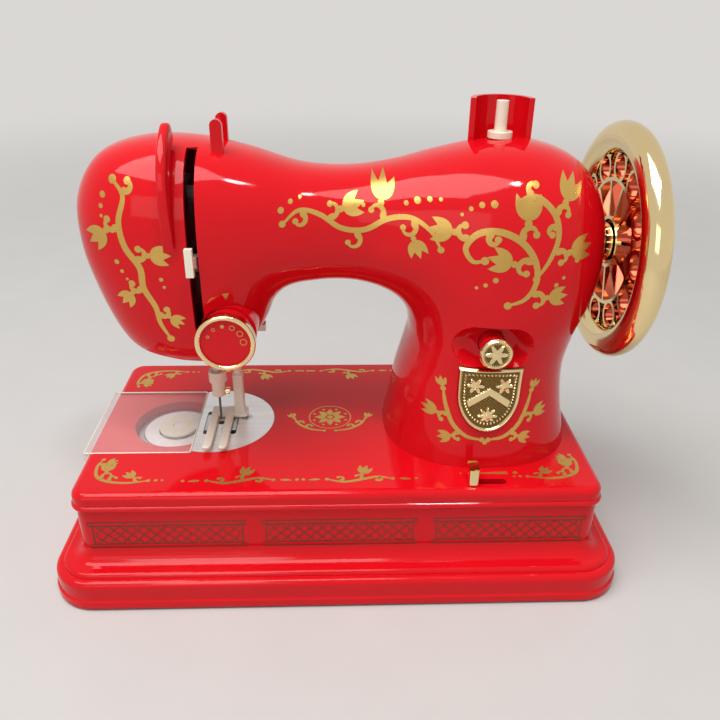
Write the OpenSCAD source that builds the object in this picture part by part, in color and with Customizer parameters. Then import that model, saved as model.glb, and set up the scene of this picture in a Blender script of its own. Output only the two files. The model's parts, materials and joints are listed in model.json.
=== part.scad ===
// Toy sewing machine: a swan-shaped arm on a stepped base, with a working stitch train inside

/* [Base] */
// Length of the plinth, left to right
base_l = 275; // [270:1:300]
// Depth of the plinth, front to back
base_d = 155; // [150:1:170]
// Height of the deck above the table
deck_h = 56.5; // [55:0.5:64]
// How far the plinth stands out past the walls
plinth_out = 14; // [12:0.5:15]
// Corner radius of the walls
wall_r = 8; // [7:0.5:12]
// Thickness of the base walls
base_wall = 2.5; // [2:0.1:3]
// Thickness of the deck
deck_t = 4; // [3.6:0.1:4.6]
// Thickness of the bottom cover
floor_t = 2.5; // [2:0.1:3]
// Height of a rubber foot
foot_h = 1.5; // [1:0.1:2.5]
// Radius of a rubber foot
foot_r = 8; // [6:0.5:10]

/* [Body] */
// Length of the body, from the head's left end to the column's right end
body_l = 240; // [232:1:250]
// Height of the body above the deck
body_h = 146; // [142:1:156]
// Depth of the body at its foot
body_d = 91; // [86:1:100]
// Distance from the plinth's left end to the head's left end
head_in = 20.5; // [15:0.5:26]
// Thickness of the body shells
shell_t = 2.4; // [2:0.1:2.8]

/* [Handwheel] */
// Outer radius of the handwheel
wheel_r = 55; // [50:0.5:60]
// Thickness of the handwheel's rim
wheel_w = 12; // [10:0.5:13]
// Width of the rim, measured along the radius
rim_band = 14; // [13:0.5:18]
// Gap between the body's end and the wheel
wheel_gap = 1.5; // [1:0.1:3]
// Radius of the main shaft
shaft_r = 3; // [2.5:0.1:3.5]

/* [Stitching] */
// Distance from the head's left end to the needle
needle_in = 55.5; // [52:0.5:58]
// Radius of the needle
needle_r = 0.6; // [0.5:0.05:0.8]
// Radius of the needle bar
needle_bar_r = 2.5; // [2:0.1:2.8]
// Radius of the presser bar
presser_bar_r = 2.2; // [1.8:0.1:2.5]
// Height that the presser foot lifts
presser_lift = 6; // [4:0.5:6]
// Radius of the bobbin
bobbin_r = 9.9; // [9:0.1:10.4]
// Radius of the needle plate
plate_r = 30; // [28:0.5:32]
// Thickness of the needle plate and of the bobbin cover
plate_t = 2; // [1.6:0.1:2.2]

/* [Controls] */
// Radius of the tension dial's ring
dial_r = 13.2; // [12:0.1:14]
// Radius of the start button
button_r = 7.4; // [6.8:0.1:8]
// Travel of the start button
button_travel = 3; // [2:0.5:4]
// Travel of the speed lever along its slot
lever_travel = 14; // [10:1:16]
// Width of the shield badge
badge_w = 30; // [26:0.5:33]
// Height of the shield badge
badge_h = 35; // [31:0.5:37]
// Radius of the spool guard
guard_r = 14.2; // [13:0.1:16]
// Height of the spool pin above the arm
pin_h = 16; // [13:0.5:18]

/* [Hidden] */
$fn = 64;

// Cuts run past the faces that they open
overrun = 20;
// Clearance of a shaft or bar in its bore
run_gap = 0.05;
// Clearance of a moving piece beside a fixed one
free_gap = 0.4;
// Clearance of a fixed piece in its seat
seat_gap = 0.15;

// Colours
red = [0.86, 0.04, 0.07];
dark_red = [0.62, 0.02, 0.05];
gold = [0.83, 0.68, 0.35];
ivory = [0.93, 0.9, 0.8];
steel = [0.7, 0.72, 0.74];
dark = [0.16, 0.16, 0.18];

// Main lines of the layout
wall_l = base_l - 2 * plinth_out;
wall_d = base_d - 2 * plinth_out;
floor_z = foot_h + floor_t;
deck_under = deck_h - deck_t;
body_x0 = head_in - base_l / 2;
body_x1 = body_x0 + body_l;
shaft_share = 0.675;
shaft_z = deck_h + shaft_share * body_h;
column_share = 0.781;
column_x = body_x0 + column_share * body_l;
button_dx = -1.8;
badge_dx = -1.2;
spool_dx = 1.8;
button_x = column_x + button_dx;
badge_x = column_x + badge_dx;
spool_x = column_x + spool_dx;
needle_x = body_x0 + needle_in;
needle_y = -3;
guide_share = 0.346;
dial_share = 0.459;
button_share = 0.4315;
badge_share = 0.363;
arm_top_share = 0.995;

// Base profile, as distances outward of the wall line and heights
lip_h = 3.5;
lip_in = 0.8;
band_h = 7.5;
band_r = 3;
step_in = 0.8;
step_r = 2.2;
cove_r = 7.4;
wall_in = 1;
bead_r = 1.8;
bead_drop = 8;
edge_r = 3.5;
arc_steps = 8;
band_o = plinth_out - lip_in;
band_z = foot_h + lip_h + band_h;
step_o = band_o - band_r - step_in;
step_z = band_z + band_r;
cove_o = cove_r - wall_in;
cove_z = step_z + step_r + cove_r;
bead_z = deck_h - bead_drop;
inner_o = -wall_in - base_wall;
skirt_o = band_o - base_wall;
skirt_z = band_z - base_wall / 2;
slope_o = cove_o - base_wall;
slope_z = step_z - base_wall / 2;
ledge_o = inner_o - base_wall;
join_in = 1;

// Screws that hold the casing together
screw_r = 1.5;
screw_l = 16;
screw_head_r = 3;
screw_head_h = 2;
boss_r = 4;
post_in_x = 20;
post_in_y = 18;
pad_h = 2;
pad_r = 5.5;
foot_in_x = 9;
foot_in_y = 7;
boss_floor = 9;
// Shares of the body's length, height and half depth at which the shells' screw posts stand
boss_shares = [[0.115, 0.7, 0.757], [0.53, 0.79, 0.567], [0.85, 0.8, 0.872], [0.696, 0.065, 0.883]];
frame_screw_dx = 8;

// Batteries in their tray under the rear of the deck
cell_r = 7.2;
cell_l = 50;
cell_gap = 0.8;
cell_nub_r = 2.6;
cell_nub_h = 1;
tray_wall = 2;
tray_in_x = 9;
tray_in_y = 7.5;
contact_t = 0.5;
contact_w = 10;
tray_l = 2 * (cell_l + cell_nub_h + cell_gap) + 4 * contact_t;
tray_d = 4 * (cell_r + cell_gap);
tray_h = 2 * (cell_r + cell_gap);
cell_z = floor_z + cell_r + cell_gap / 2;
tray_y = wall_d / 2 - tray_in_y - tray_d / 2;
door_gap = 0.3;

// Circuit board on posts, in front of the batteries
board_x = 20;
board_in_y = 8.5;
board_l = 60;
board_d = 26;
board_y = board_in_y + board_d / 2 - wall_d / 2;
board_t = 1.6;
board_post_h = 6;
board_post_r = 2.5;
board_post_in = 4;
chip_l = 12;
chip_d = 8;
chip_h = 3;

// Needle plate, bobbin cover and what they cover
plate_back = 8.7;
plate_dx = 2.8;
plate_cx = needle_x - plate_dx;
plate_edge_x = plate_cx - plate_back;
cover_lip_t = 2;
cover_lip_h = 5.6;
needle_hole_r = 1.8;
feed_slot_w = 3;
feed_slot_l = 22;
feed_dx = 7;
plate_screw_dx = 15.5;
plate_screw_y = 2.3;
plate_screw_r = 1.6;
plate_screw_head_r = 3;
plate_screw_head_h = 1;
driver_w = 0.8;
driver_h = 0.5;
well_r = 22;
hook_dx = 23.5;
hook_x = needle_x - hook_dx;
well_l = 29;
well_d = 36;
well_right = 13.5;

// Lower shaft, hook and bobbin
low_up = 20;
low_z = floor_z + low_up;
low_r = 3;
low_gear_n = 16;
module_size = 1;
gear_w = 4;
crown_r = low_gear_n * module_size / 2;
crown_mesh = 0.2;
crown_tooth_w = 1;
crown_tooth_h = 1.8;
crown_disc_t = 2;
hook_hub_r = 6;
hook_hub_h = 4.4;
hook_r = 20.5;
hook_wall = 2.5;
hook_floor = 3;
hook_h = 10;
post_r = 2.5;
tooth_z = low_z + crown_r - crown_mesh;
crown_z = tooth_z + crown_tooth_h;
hook_z = crown_z + crown_disc_t + hook_hub_h;
case_z = hook_z + hook_floor + free_gap;
case_r = hook_r - hook_wall - free_gap;
case_floor = 2.2;
case_h = 7.4;
bobbin_z = case_z + case_floor + free_gap;
bobbin_h = 7;
bobbin_flange = 1;
bobbin_core_r = 5;
bobbin_bore_r = 3;
low_start = 2.2;
low_x0 = hook_x + post_r + low_start;
pinion_x = hook_x + crown_r;
bearing_w = 6;
bearing_d = 14;
bearing_top = 7;
bearing_left_dx = 20;
bearing_right_dx = 2;
cam_r = 5;
cam_throw = 0.8;
cam_w = 5;
cam_dx = 9;

// Feed dog on its cross rail
feed_plate_t = 1.6;
feed_under = 1.7;
plate_screw_l = plate_t + feed_under - free_gap;
feed_proud = 0.1;
feed_bar_w = 2.2;
feed_bar_l = 15;
feed_plate_d = 23;
feed_hole_r = 2.8;
feed_z0 = deck_h - plate_t - feed_under - feed_plate_t;
feed_leg_w = 5;
feed_leg_d = 10;
feed_leg_gap = 1;
rail_r = 2;
rail_drop = 8;
rail_half = 20;
rail_post_t = 4;
tray_x = needle_x + cam_dx + feed_leg_w / 2 + tray_in_x + tray_l / 2;
rail_z = feed_z0 - rail_drop;

// Speed lever and its switch
lever_x = 62;
lever_in_y = 7.5;
lever_y = lever_in_y - wall_d / 2;
lever_w = 5;
lever_d = 8;
lever_h = 9;
lever_neck_w = 3.6;
lever_neck_d = 3;
switch_l = 32;
switch_d = 7;
switch_h = 8;
switch_wall = 1;
lever_lift = 0.5;

// Chassis that runs from the column through the arm to the head
frame_y = 16;
frame_t = 3;
spine_below = 3;
spine_h = 15;
plate_left_dx = 10.5;
plate_right_dx = 7.5;
plate_up = 28;
plate_bottom_z = deck_h + guide_share * body_h;
plate_top_z = shaft_z + plate_up;
leg_w = 28;
flange_d = 13;
flange_h = 10;
lug_h = 5;
lug_wall = 3;
presser_dx = 9;
presser_dy = 8;
presser_x = needle_x + presser_dx;
presser_y = needle_y + presser_dy;
collar_up = 3;
collar_h = 3;
spring_solid = 3.5;
collar_z = plate_bottom_z + lug_h + collar_up;
spring_z = collar_z + collar_h;
mid_lug_z = spring_z + presser_lift + spring_solid;
bearing_lug_w = 6;
bearing_left_dx_head = 32;
bearing_right_dx_column = 29;
bearing_left_x = needle_x + bearing_left_dx_head;
bearing_right_x = column_x + bearing_right_dx_column;
bush_wall = 2;
bush_over = 1;
lug_rim = 2;
saddle_l = 12;
saddle_h = 16;

// Crank and needle bar
crank_dx = 19.5;
crank_x = needle_x + crank_dx;
crank_disc_r = 13.5;
crank_disc_t = 4;
crank_throw = 11;
crank_pin_r = 2;
crank_pin_l = 5;
crank_rise = -1;
yoke_t = 3.6;
yoke_half_d = 14;
yoke_h = 8;
yoke_slot_half = 12;
yoke_arm_front = 4;
yoke_rim = 1.2;
needle_rise = 1.5;
needle_tip_z = deck_h + needle_rise;
needle_l = 22;
needle_point = 3;
clamp_r = 4.5;
clamp_h = 6;
clamp_neck_r = 3.4;
clamp_neck_h = 8;
clamp_hold = 2;
clamp_screw_r = 1;
clamp_screw_head_r = 1.8;
clamp_screw_l = 5;
clamp_screw_head_l = 1.8;
needle_bar_up = 29;
needle_bar_top_z = shaft_z + needle_bar_up;
needle_top_z = needle_tip_z + needle_l;

// Take-up lever
take_y = -16;
take_drop = 5;
take_z = shaft_z - take_drop;
take_hub_r = 4;
take_pin_r = 1.5;
take_t = 2.4;
take_hub_l = 3;
take_reach = 28;
take_rise = 10;
take_bar_w = 3.2;
take_tab_h = 12;
take_tab_w = 3.2;
take_tab_d = 2.6;
ear_w = 3.5;
ear_h = 8;
slot_w = 4.4;
slot_drop = 2;
slot_back = 4;

// Presser foot and lifter
collar_r = 4.5;
bracket_l = 7;
bracket_d = 8;
presser_top_z = mid_lug_z + lug_h;
ankle_w = 8;
ankle_d = 7;
ankle_h = 25;
ankle_hold = 8;
sole_t = 2.2;
sole_gap = 0.5;
toe_w = 4.2;
toe_gap = 3.6;
toe_front = 29;
toe_back = 12;
sole_bridge = 8;
spring_wall = 1;
lifter_dx = 6.5;
lifter_up = 4.5;
lifter_z = plate_bottom_z + lifter_up;
lifter_hub_r = 2.6;
lifter_pin_r = 1.5;
lifter_w = 4.7;
lifter_lug_gap = 0.3;
cam_l = 4.5;
cam_h = 3;
tab_l = 10;
tab_h = 3.4;
notch_h = 8;

// Tension dial
dial_dx = 12;
dial_z = deck_h + dial_share * body_h;
dial_front = 44;
dial_ring_w = 1.6;
dial_drum_r = dial_r - dial_ring_w;
dial_ring_l = 5;
dial_ring_proud = 1.6;
dial_shaft_r = 3;
seat_r = 12.6;
seat_front = 33;
seat_back = 10;
drum_back = seat_front + free_gap;
dial_dot_n = 7;
dial_dot_share = 0.68;
dial_dot_r = 0.7;
dial_dot_h = 0.4;
dial_dot_step = 30;

// Start button
button_z = deck_h + button_share * body_h;
pill_l = 36;
pill_h = 21;
bezel_front = 38.5;
bezel_t = 5.5;
stem_r = 5.8;
stem_flange_t = 2;
button_proud = 5.8;
stem_front = bezel_front + button_proud + button_travel;
medallion_t = 2.6;
stem_back = 27;
spring_min = 3.2;
spring_l = button_travel + spring_min;
spring_r = 4.2;
switch_box = 12;
switch_box_t = 4;
switch_y = spring_l - stem_back;
bracket_t = 3;
bracket_drop = 15;

// Shield badge
badge_z = deck_h + badge_share * body_h;
badge_t = 2;
badge_straight_share = 0.42;
badge_rim = 1.6;
badge_rim_t = 0.8;

// Spool pin, guard and thread guides
spool_y = 4;
spool_r = 2.7;
spool_flange_r = 5.5;
spool_flange_h = 2.6;
spool_seat = 0.35;
spool_in = 10;
arm_top_z = deck_h + arm_top_share * body_h;
guard_t = 2.5;
guard_rise = 17;
guard_in = 8;
guide_dx = 10.5;
guide_w = 5;
guide_t = 3;
guide_front_y = -14;
guide_rear_y = 3.5;
guide_top = 9.5;
guide_in = 11;
fin_dx = 9;
fin_t = 4.5;
fin_gap = 2.2;
fin_rise = 12;
fin_end = 88;
fin_tip_y = -12;
tenon_angle = 80;
tenon_h = 9;
tenon_hold = 2;
tenon_in = 6.3;

// Gears, pulleys, belt and motor
drive_gear_n = 28;
motor_gear_n = 10;
gear_space = 0.2;
drive_gear_dx = -26;
drive_gear_w = 6;
drive_pitch_r = drive_gear_n * module_size / 2;
motor_pitch_r = motor_gear_n * module_size / 2;
motor_r = 12;
motor_l = 26;
motor_gap = 3;
motor_shaft_r = 1;
motor_bore_l = 3;
motor_z = shaft_z - drive_pitch_r - motor_pitch_r - gear_space;
pulley_r = 10;
pulley_w = 10;
flange_t = 1;
pulley_lip = 2.4;
pulley_dx = 17;
belt_t = 1.5;
belt_gap = 0.3;
tip_rise = 0.8;
root_drop = 1.2;
tip_half_share = 0.08;
root_half_share = 0.26;

// Handwheel
wheel_x0 = body_x1 + wheel_gap;
rim_r = wheel_w / 2;
hub_r = 9;
web_t = 2.4;
web_x = wheel_x0 + wheel_w / 2;
tracery_t = 2.6;
tracery_line = 1.6;
arch_n = 12;
arch_r = 7.2;
shaft_hole_r = 5;

// Shares of the body's length, height and half depth at each station, from the lower edge of the head,
// round the arm to the foot: outer x, outer z, inner x, inner z, half depth
station_shares = [
    [0.104, 0.339, 0.312, 0.318, 0.53],
    [0.069, 0.377, 0.324, 0.353, 0.66],
    [0.044, 0.452, 0.335, 0.397, 0.736],
    [0.019, 0.579, 0.349, 0.445, 0.78],
    [0.004, 0.709, 0.36, 0.49, 0.802],
    [0.01, 0.846, 0.373, 0.519, 0.802],
    [0.054, 0.955, 0.388, 0.539, 0.79],
    [0.133, 1, 0.404, 0.551, 0.758],
    [0.229, 1, 0.421, 0.558, 0.714],
    [0.321, 0.969, 0.442, 0.562, 0.66],
    [0.417, 0.923, 0.467, 0.565, 0.593],
    [0.508, 0.914, 0.496, 0.565, 0.582],
    [0.592, 0.932, 0.525, 0.56, 0.615],
    [0.675, 0.966, 0.558, 0.547, 0.703],
    [0.762, 0.993, 0.588, 0.524, 0.791],
    [0.854, 0.992, 0.61, 0.493, 0.879],
    [0.933, 0.942, 0.624, 0.455, 0.945],
    [0.981, 0.832, 0.63, 0.414, 0.978],
    [0.998, 0.688, 0.632, 0.373, 0.989],
    [0.99, 0.551, 0.627, 0.325, 0.967],
    [0.967, 0.421, 0.618, 0.271, 0.923],
    [0.954, 0.298, 0.607, 0.202, 0.912],
    [0.96, 0.161, 0.597, 0.106, 0.945],
    [0.979, 0, 0.585, 0, 1]
];
// Exponent that makes the sections a little squarer than an ellipse
section_power = 2.35;
station_steps = 2;
section_sides = 16;
station_last = (len(station_shares) - 1) * station_steps;

// Straight bar between two opposite corners
module block(low, high) {
    translate(low) cube(high - low);
}

// Round bars along each axis, from a point
module rod_x(at, length, r) {
    translate(at) rotate([0, 90, 0]) cylinder(h = length, r = r);
}

module rod_y(at, length, r) {
    translate(at) rotate([-90, 0, 0]) cylinder(h = length, r = r);
}

module rod_z(at, length, r) {
    translate(at) cylinder(h = length, r = r);
}

// Flat outline set upright facing +X, with its own x along Y and its own y along Z
module across_x(at, length) {
    translate(at) rotate([90, 0, 90]) linear_extrude(length) children();
}

// Flat outline set upright facing -Y, with its own x along X and its own y along Z
module across_y(at, length) {
    translate(at) rotate([90, 0, 0]) linear_extrude(length) children();
}

// Rectangle with round corners, centred
module round_rect(length, depth, r) {
    square([length - 2 * r, depth], center = true);
    square([length, depth - 2 * r], center = true);
    for (sx = [-1, 1], sy = [-1, 1])
        translate([sx * (length / 2 - r), sy * (depth / 2 - r)]) circle(r);
}

// Long outline with round ends, centred
module pill(length, height) {
    square([length - height, height], center = true);
    for (side = [-1, 1])
        translate([side * (length - height) / 2, 0]) circle(height / 2);
}

// Points along an arc
function arc(cx, cy, r, a0, a1) = [for (i = [0 : arc_steps])
    let (a = a0 + (a1 - a0) * i / arc_steps) [cx + r * cos(a), cy + r * sin(a)]];

// Gear outline with straight-sided teeth, a tooth at the start angle
function gear_points(teeth, start) = let (r = teeth * module_size / 2, pitch = 360 / teeth)
    [for (k = [0 : teeth - 1], side = [0 : 3])
        let (half = (side == 0 || side == 3) ? root_half_share : tip_half_share,
            sign = side < 2 ? -1 : 1,
            radius = (side == 0 || side == 3) ? r - root_drop * module_size : r + tip_rise * module_size,
            a = start + k * pitch + sign * half * pitch)
        [radius * cos(a), radius * sin(a)]];

// Body surface: a smooth row of stations, each a rounded section between its outer and inner point
function smooth(p, q, r, s, f) = (2 * q + (r - p) * f + (2 * p - 5 * q + 4 * r - s) * f * f
    + (3 * q - p - 3 * r + s) * f * f * f) / 2;
function row(i) = let (last = len(station_shares) - 1)
    i < 0 ? 2 * station_shares[0] - station_shares[1]
    : i > last ? 2 * station_shares[last] - station_shares[last - 1] : station_shares[i];
function station(i) = let (t = min(floor(i / station_steps), len(station_shares) - 2),
    f = i / station_steps - t) smooth(row(t - 1), row(t), row(t + 1), row(t + 2), f);
function rounded(v) = sign(v) * pow(abs(v), 2 / section_power);
function skin_point(i, a, out) = let (s = station(i),
    outer = [body_x0 + s[0] * body_l, deck_h + s[1] * body_h],
    inner = [body_x0 + s[2] * body_l, deck_h + s[3] * body_h],
    along = (outer - inner) / norm(outer - inner),
    half = (outer - inner) / 2 + out * along,
    p = (outer + inner) / 2 + rounded(cos(a)) * half)
    [p[0], rounded(sin(a)) * (s[4] * body_d / 2 + out), p[1]];
function quad(a, b, c, d) = [[a, b, c], [a, c, d]];

// Closed layer of the body between two offsets, over a run of stations and half a turn from an angle
module skin(from_angle, out_high, out_low, first, last) {
    rows = last - first + 1;
    cols = section_sides + 1;
    step = 180 / section_sides;
    points = [for (out = [out_high, out_low], i = [first : last], j = [0 : section_sides])
        skin_point(i, from_angle + j * step, out)];
    low = rows * cols;
    faces = concat(
        [for (i = [0 : rows - 2], j = [0 : cols - 2]) let (a = i * cols + j)
            each quad(a, a + 1, a + cols + 1, a + cols)],
        [for (i = [0 : rows - 2], j = [0 : cols - 2]) let (a = low + i * cols + j)
            each quad(a, a + cols, a + cols + 1, a + 1)],
        [for (i = [0 : rows - 2]) let (a = i * cols)
            each quad(a, a + cols, low + a + cols, low + a)],
        [for (i = [0 : rows - 2]) let (a = i * cols + cols - 1)
            each quad(a + cols, a, low + a, low + a + cols)],
        [for (j = [0 : cols - 2]) each quad(j + 1, j, low + j, low + j + 1)],
        [for (j = [0 : cols - 2]) let (a = (rows - 1) * cols + j)
            each quad(a, a + 1, low + a + 1, low + a)]);
    polyhedron(points, faces);
}

// Base

// Outline of the base wall: lip, band, step, cove, wall, bead and deck edge, then back down inside
base_profile = concat(
    [[plinth_out, foot_h], [plinth_out, foot_h + lip_h], [band_o, foot_h + lip_h + lip_in]],
    arc(band_o - band_r, band_z, band_r, 0, 90),
    [[step_o, step_z]],
    arc(step_o - step_r, step_z, step_r, 0, 90),
    [for (p = arc(cove_o, cove_z, cove_r, 270, 180)) p],
    arc(-wall_in, bead_z, bead_r, -90, 90),
    [[0, bead_z + bead_r]],
    arc(-edge_r, deck_h - edge_r, edge_r, 0, 90),
    [[ledge_o, deck_h], [ledge_o, deck_under], [inner_o, deck_under], [inner_o, cove_z - base_wall],
        [slope_o, slope_z], [skirt_o, skirt_z - base_wall], [skirt_o, foot_h]]);

module base_skirt() {
    for (turn = [0 : 3]) {
        long = turn % 2 == 0 ? wall_l : wall_d;
        wide = turn % 2 == 0 ? wall_d : wall_l;
        rotate([0, 0, turn * 90]) {
            translate([long / 2, wide / 2 - wall_r, 0]) rotate([90, 0, 0])
                linear_extrude(wide - 2 * wall_r) polygon(base_profile);
            translate([long / 2 - wall_r, wide / 2 - wall_r, 0])
                rotate_extrude(angle = 90) translate([wall_r, 0]) polygon(base_profile);
        }
    }
}

post_x = wall_l / 2 - post_in_x;
post_y = wall_d / 2 - post_in_y;
pad_z = floor_z + pad_h;

module plate_outline(grow) {
    intersection() {
        translate([plate_cx, 0]) circle(plate_r + grow);
        translate([plate_edge_x, -plate_r - overrun])
            square([2 * plate_r + overrun, 2 * (plate_r + overrun)]);
    }
}

module base_shell() color(red) difference() {
    union() {
        base_skirt();
        translate([0, 0, deck_under]) linear_extrude(deck_t)
            round_rect(wall_l - 2 * edge_r, wall_d - 2 * edge_r, wall_r - edge_r);
        for (sx = [-1, 1], sy = [-1, 1])
            rod_z([sx * post_x, sy * post_y, pad_z], deck_under + join_in - pad_z, boss_r);
    }
    for (sx = [-1, 1], sy = [-1, 1])
        rod_z([sx * post_x, sy * post_y, floor_z - overrun], screw_l + overrun, screw_r);
    translate([0, 0, deck_h - plate_t]) linear_extrude(overrun) plate_outline(seat_gap);
    block([-wall_l / 2 - overrun, -plate_r - free_gap, deck_h - plate_t],
        [plate_edge_x + seat_gap, plate_r + free_gap, deck_h + overrun]);
    rod_z([hook_x, 0, deck_under - overrun], deck_t + 2 * overrun, well_r);
    block([needle_x + well_right - well_l, -well_d / 2, deck_under - overrun],
        [needle_x + well_right, well_d / 2, deck_h + overrun]);
    rod_z([plate_cx + plate_screw_dx, plate_screw_y, deck_under - overrun], deck_t + overrun, plate_screw_r);
    translate([lever_x + lever_travel / 2, lever_y, deck_under - overrun]) linear_extrude(2 * overrun)
        pill(lever_travel + lever_neck_w + 2 * free_gap, lever_neck_d + 2 * free_gap);
    block([pulley_x - free_gap, -pulley_r - pulley_lip - free_gap, deck_under - overrun],
        [pulley_x + pulley_w + free_gap, pulley_r + pulley_lip + free_gap, deck_h + overrun]);
    for (side = [-1, 1])
        rod_z([column_x + side * frame_screw_dx, frame_y + flange_d, deck_under - overrun],
            deck_t + 2 * overrun, screw_r);
}

pulley_x = column_x + pulley_dx;

module base_bottom() color(dark_red) difference() {
    union() {
        translate([0, 0, foot_h]) linear_extrude(floor_t)
            round_rect(wall_l + 2 * (skirt_o - seat_gap), wall_d + 2 * (skirt_o - seat_gap),
                wall_r + skirt_o - seat_gap);
        for (x = [hook_x + bearing_left_dx, column_x + bearing_right_dx])
            block([x, -bearing_d / 2, foot_h], [x + bearing_w, bearing_d / 2, low_z + bearing_top]);
        rod_z([hook_x, 0, foot_h], hook_z + hook_floor - foot_h, post_r);
        for (sx = [-1, 1], sy = [-1, 1])
            rod_z([board_x + sx * (board_l / 2 - board_post_in), board_y + sy * (board_d / 2 - board_post_in),
                foot_h], floor_t + board_post_h, board_post_r);
        for (sx = [-1, 1], sy = [-1, 1])
            rod_z([sx * post_x, sy * post_y, foot_h], floor_t + pad_h, pad_r);
    }
    rod_x([hook_x, 0, low_z], 2 * body_l, low_r + run_gap);
    translate([tray_x, tray_y, foot_h - overrun]) linear_extrude(floor_t + 2 * overrun)
        square([tray_l, tray_d], center = true);
    for (sx = [-1, 1], sy = [-1, 1]) {
        rod_z([sx * post_x, sy * post_y, foot_h - overrun], floor_t + 2 * overrun, screw_r);
        rod_z([sx * post_x, sy * post_y, foot_h - overrun], floor_t + overrun, screw_head_r + seat_gap);
    }
}

module rubber_feet() color(dark) for (sx = [-1, 1], sy = [-1, 1])
    rod_z([sx * (wall_l / 2 - foot_in_x), sy * (wall_d / 2 - foot_in_y), 0], foot_h, foot_r);

// Self-tapping screw with its head's seat at the origin, pointing up
module screw() {
    rod_z([0, 0, 0], screw_l - screw_head_h, screw_r);
    difference() {
        rod_z([0, 0, -screw_head_h], screw_head_h, screw_head_r);
        translate([0, 0, -screw_head_h]) for (turn = [0, 90]) rotate([0, 0, turn])
            cube([2 * screw_head_r - screw_r, driver_w, 2 * driver_h], center = true);
    }
}

module casing_screws() color(steel) {
    for (sx = [-1, 1], sy = [-1, 1])
        translate([sx * post_x, sy * post_y, floor_z]) screw();
    for (side = [-1, 1])
        translate([column_x + side * frame_screw_dx, frame_y + flange_d, deck_under]) screw();
    for (i = [0 : len(boss_shares) - 1])
        translate(boss_at(i, boss_floor)) rotate([90, 0, 0]) screw();
}

module battery_tray() color(dark) difference() {
    translate([tray_x, tray_y, floor_z]) linear_extrude(tray_h + tray_wall)
        square([tray_l + 2 * tray_wall, tray_d + 2 * tray_wall], center = true);
    translate([tray_x, tray_y, floor_z - overrun]) linear_extrude(tray_h + overrun)
        square([tray_l, tray_d], center = true);
}

module battery_door() color(dark_red) translate([tray_x, tray_y, foot_h]) {
    linear_extrude(floor_t) square([tray_l - 2 * door_gap, tray_d - 2 * door_gap], center = true);
}

module battery_cells() color(gold) for (sx = [-1, 1], sy = [-1, 1]) {
    start = tray_x + (sx < 0 ? contact_t - tray_l / 2 : contact_t + cell_gap / 2);
    y = tray_y + sy * (cell_r + cell_gap);
    rod_x([start, y, cell_z], cell_l, cell_r);
    rod_x([start + cell_l, y, cell_z], cell_nub_h, cell_nub_r);
}

module battery_contacts() color(steel) for (side = [-1, 1], sy = [-1, 1]) {
    x = tray_x + side * (tray_l - contact_t) / 2;
    block([x - contact_t / 2, tray_y + sy * (cell_r + cell_gap) - contact_w / 2, cell_z - contact_w / 2],
        [x + contact_t / 2, tray_y + sy * (cell_r + cell_gap) + contact_w / 2, cell_z + contact_w / 2]);
}

module circuit_board() color("darkgreen") {
    z = floor_z + board_post_h;
    block([board_x - board_l / 2, board_y - board_d / 2, z], [board_x + board_l / 2, board_y + board_d / 2,
        z + board_t]);
    for (side = [-1, 1])
        translate([board_x + side * chip_l, board_y, z + board_t + chip_h / 2])
            cube([chip_l, chip_d, chip_h], center = true);
}

module slide_switch() color(dark) difference() {
    translate([lever_x + lever_travel / 2, lever_y, deck_under - switch_h]) linear_extrude(switch_h)
        square([switch_l, switch_d], center = true);
    translate([lever_x + lever_travel / 2, lever_y, deck_under - switch_h + switch_wall])
        linear_extrude(overrun)
            square([switch_l - 2 * switch_wall, switch_d - 2 * switch_wall], center = true);
}

module speed_lever() color(gold) translate([lever_x, lever_y, 0]) {
    translate([0, 0, deck_h + lever_lift]) linear_extrude(lever_h - lever_lift)
        round_rect(lever_w, lever_d, lever_w / 4);
    translate([0, 0, deck_under - switch_wall]) linear_extrude(deck_t + switch_wall + 2 * lever_lift)
        pill(lever_neck_w, lever_neck_d);
    translate([0, 0, deck_under - switch_h + switch_wall + free_gap])
        linear_extrude(switch_h - switch_wall - 2 * free_gap)
            square([lever_neck_w + 2 * switch_wall, switch_d - 2 * (switch_wall + free_gap)], center = true);
}

// Stitching plate, bobbin and hook

module needle_plate() color(steel) translate([0, 0, deck_h - plate_t]) difference() {
    linear_extrude(plate_t) plate_outline(0);
    rod_z([needle_x, needle_y, -overrun], plate_t + 2 * overrun, needle_hole_r);
    for (side = [-1, 1])
        translate([needle_x + side * feed_dx, needle_y, -overrun]) linear_extrude(2 * overrun)
            rotate([0, 0, 90]) pill(feed_slot_l, feed_slot_w);
    rod_z([plate_cx + plate_screw_dx, plate_screw_y, -overrun], 2 * overrun, plate_screw_r);
    rod_z([plate_cx + plate_screw_dx, plate_screw_y, plate_t - plate_screw_head_h], overrun,
        plate_screw_head_r);
}

module plate_screw() color(steel)
translate([plate_cx + plate_screw_dx, plate_screw_y, deck_h]) difference() {
    union() {
        rod_z([0, 0, -plate_screw_head_h], plate_screw_head_h, plate_screw_head_r);
        rod_z([0, 0, -plate_screw_l], plate_screw_l, plate_screw_r);
    }
    cube([2 * plate_screw_r, driver_w, 2 * driver_h], center = true);
}

cover_x0 = -wall_l / 2 - free_gap - cover_lip_t;

module bobbin_cover() color([0.95, 0.8, 0.8, 0.4]) {
    block([cover_x0, -plate_r, deck_h - plate_t], [plate_edge_x - seat_gap, plate_r, deck_h]);
    block([cover_x0, -plate_r, deck_h - cover_lip_h], [cover_x0 + cover_lip_t, plate_r, deck_h]);
}

// The case is a dish with a pin that the bobbin turns on
module bobbin_case() color("white") translate([hook_x, 0, case_z]) {
    difference() {
        cylinder(h = case_h, r = case_r);
        translate([0, 0, case_floor]) cylinder(h = overrun, r = bobbin_r + free_gap);
    }
    cylinder(h = case_floor + bobbin_h, r = bobbin_bore_r - run_gap);
}

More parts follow.
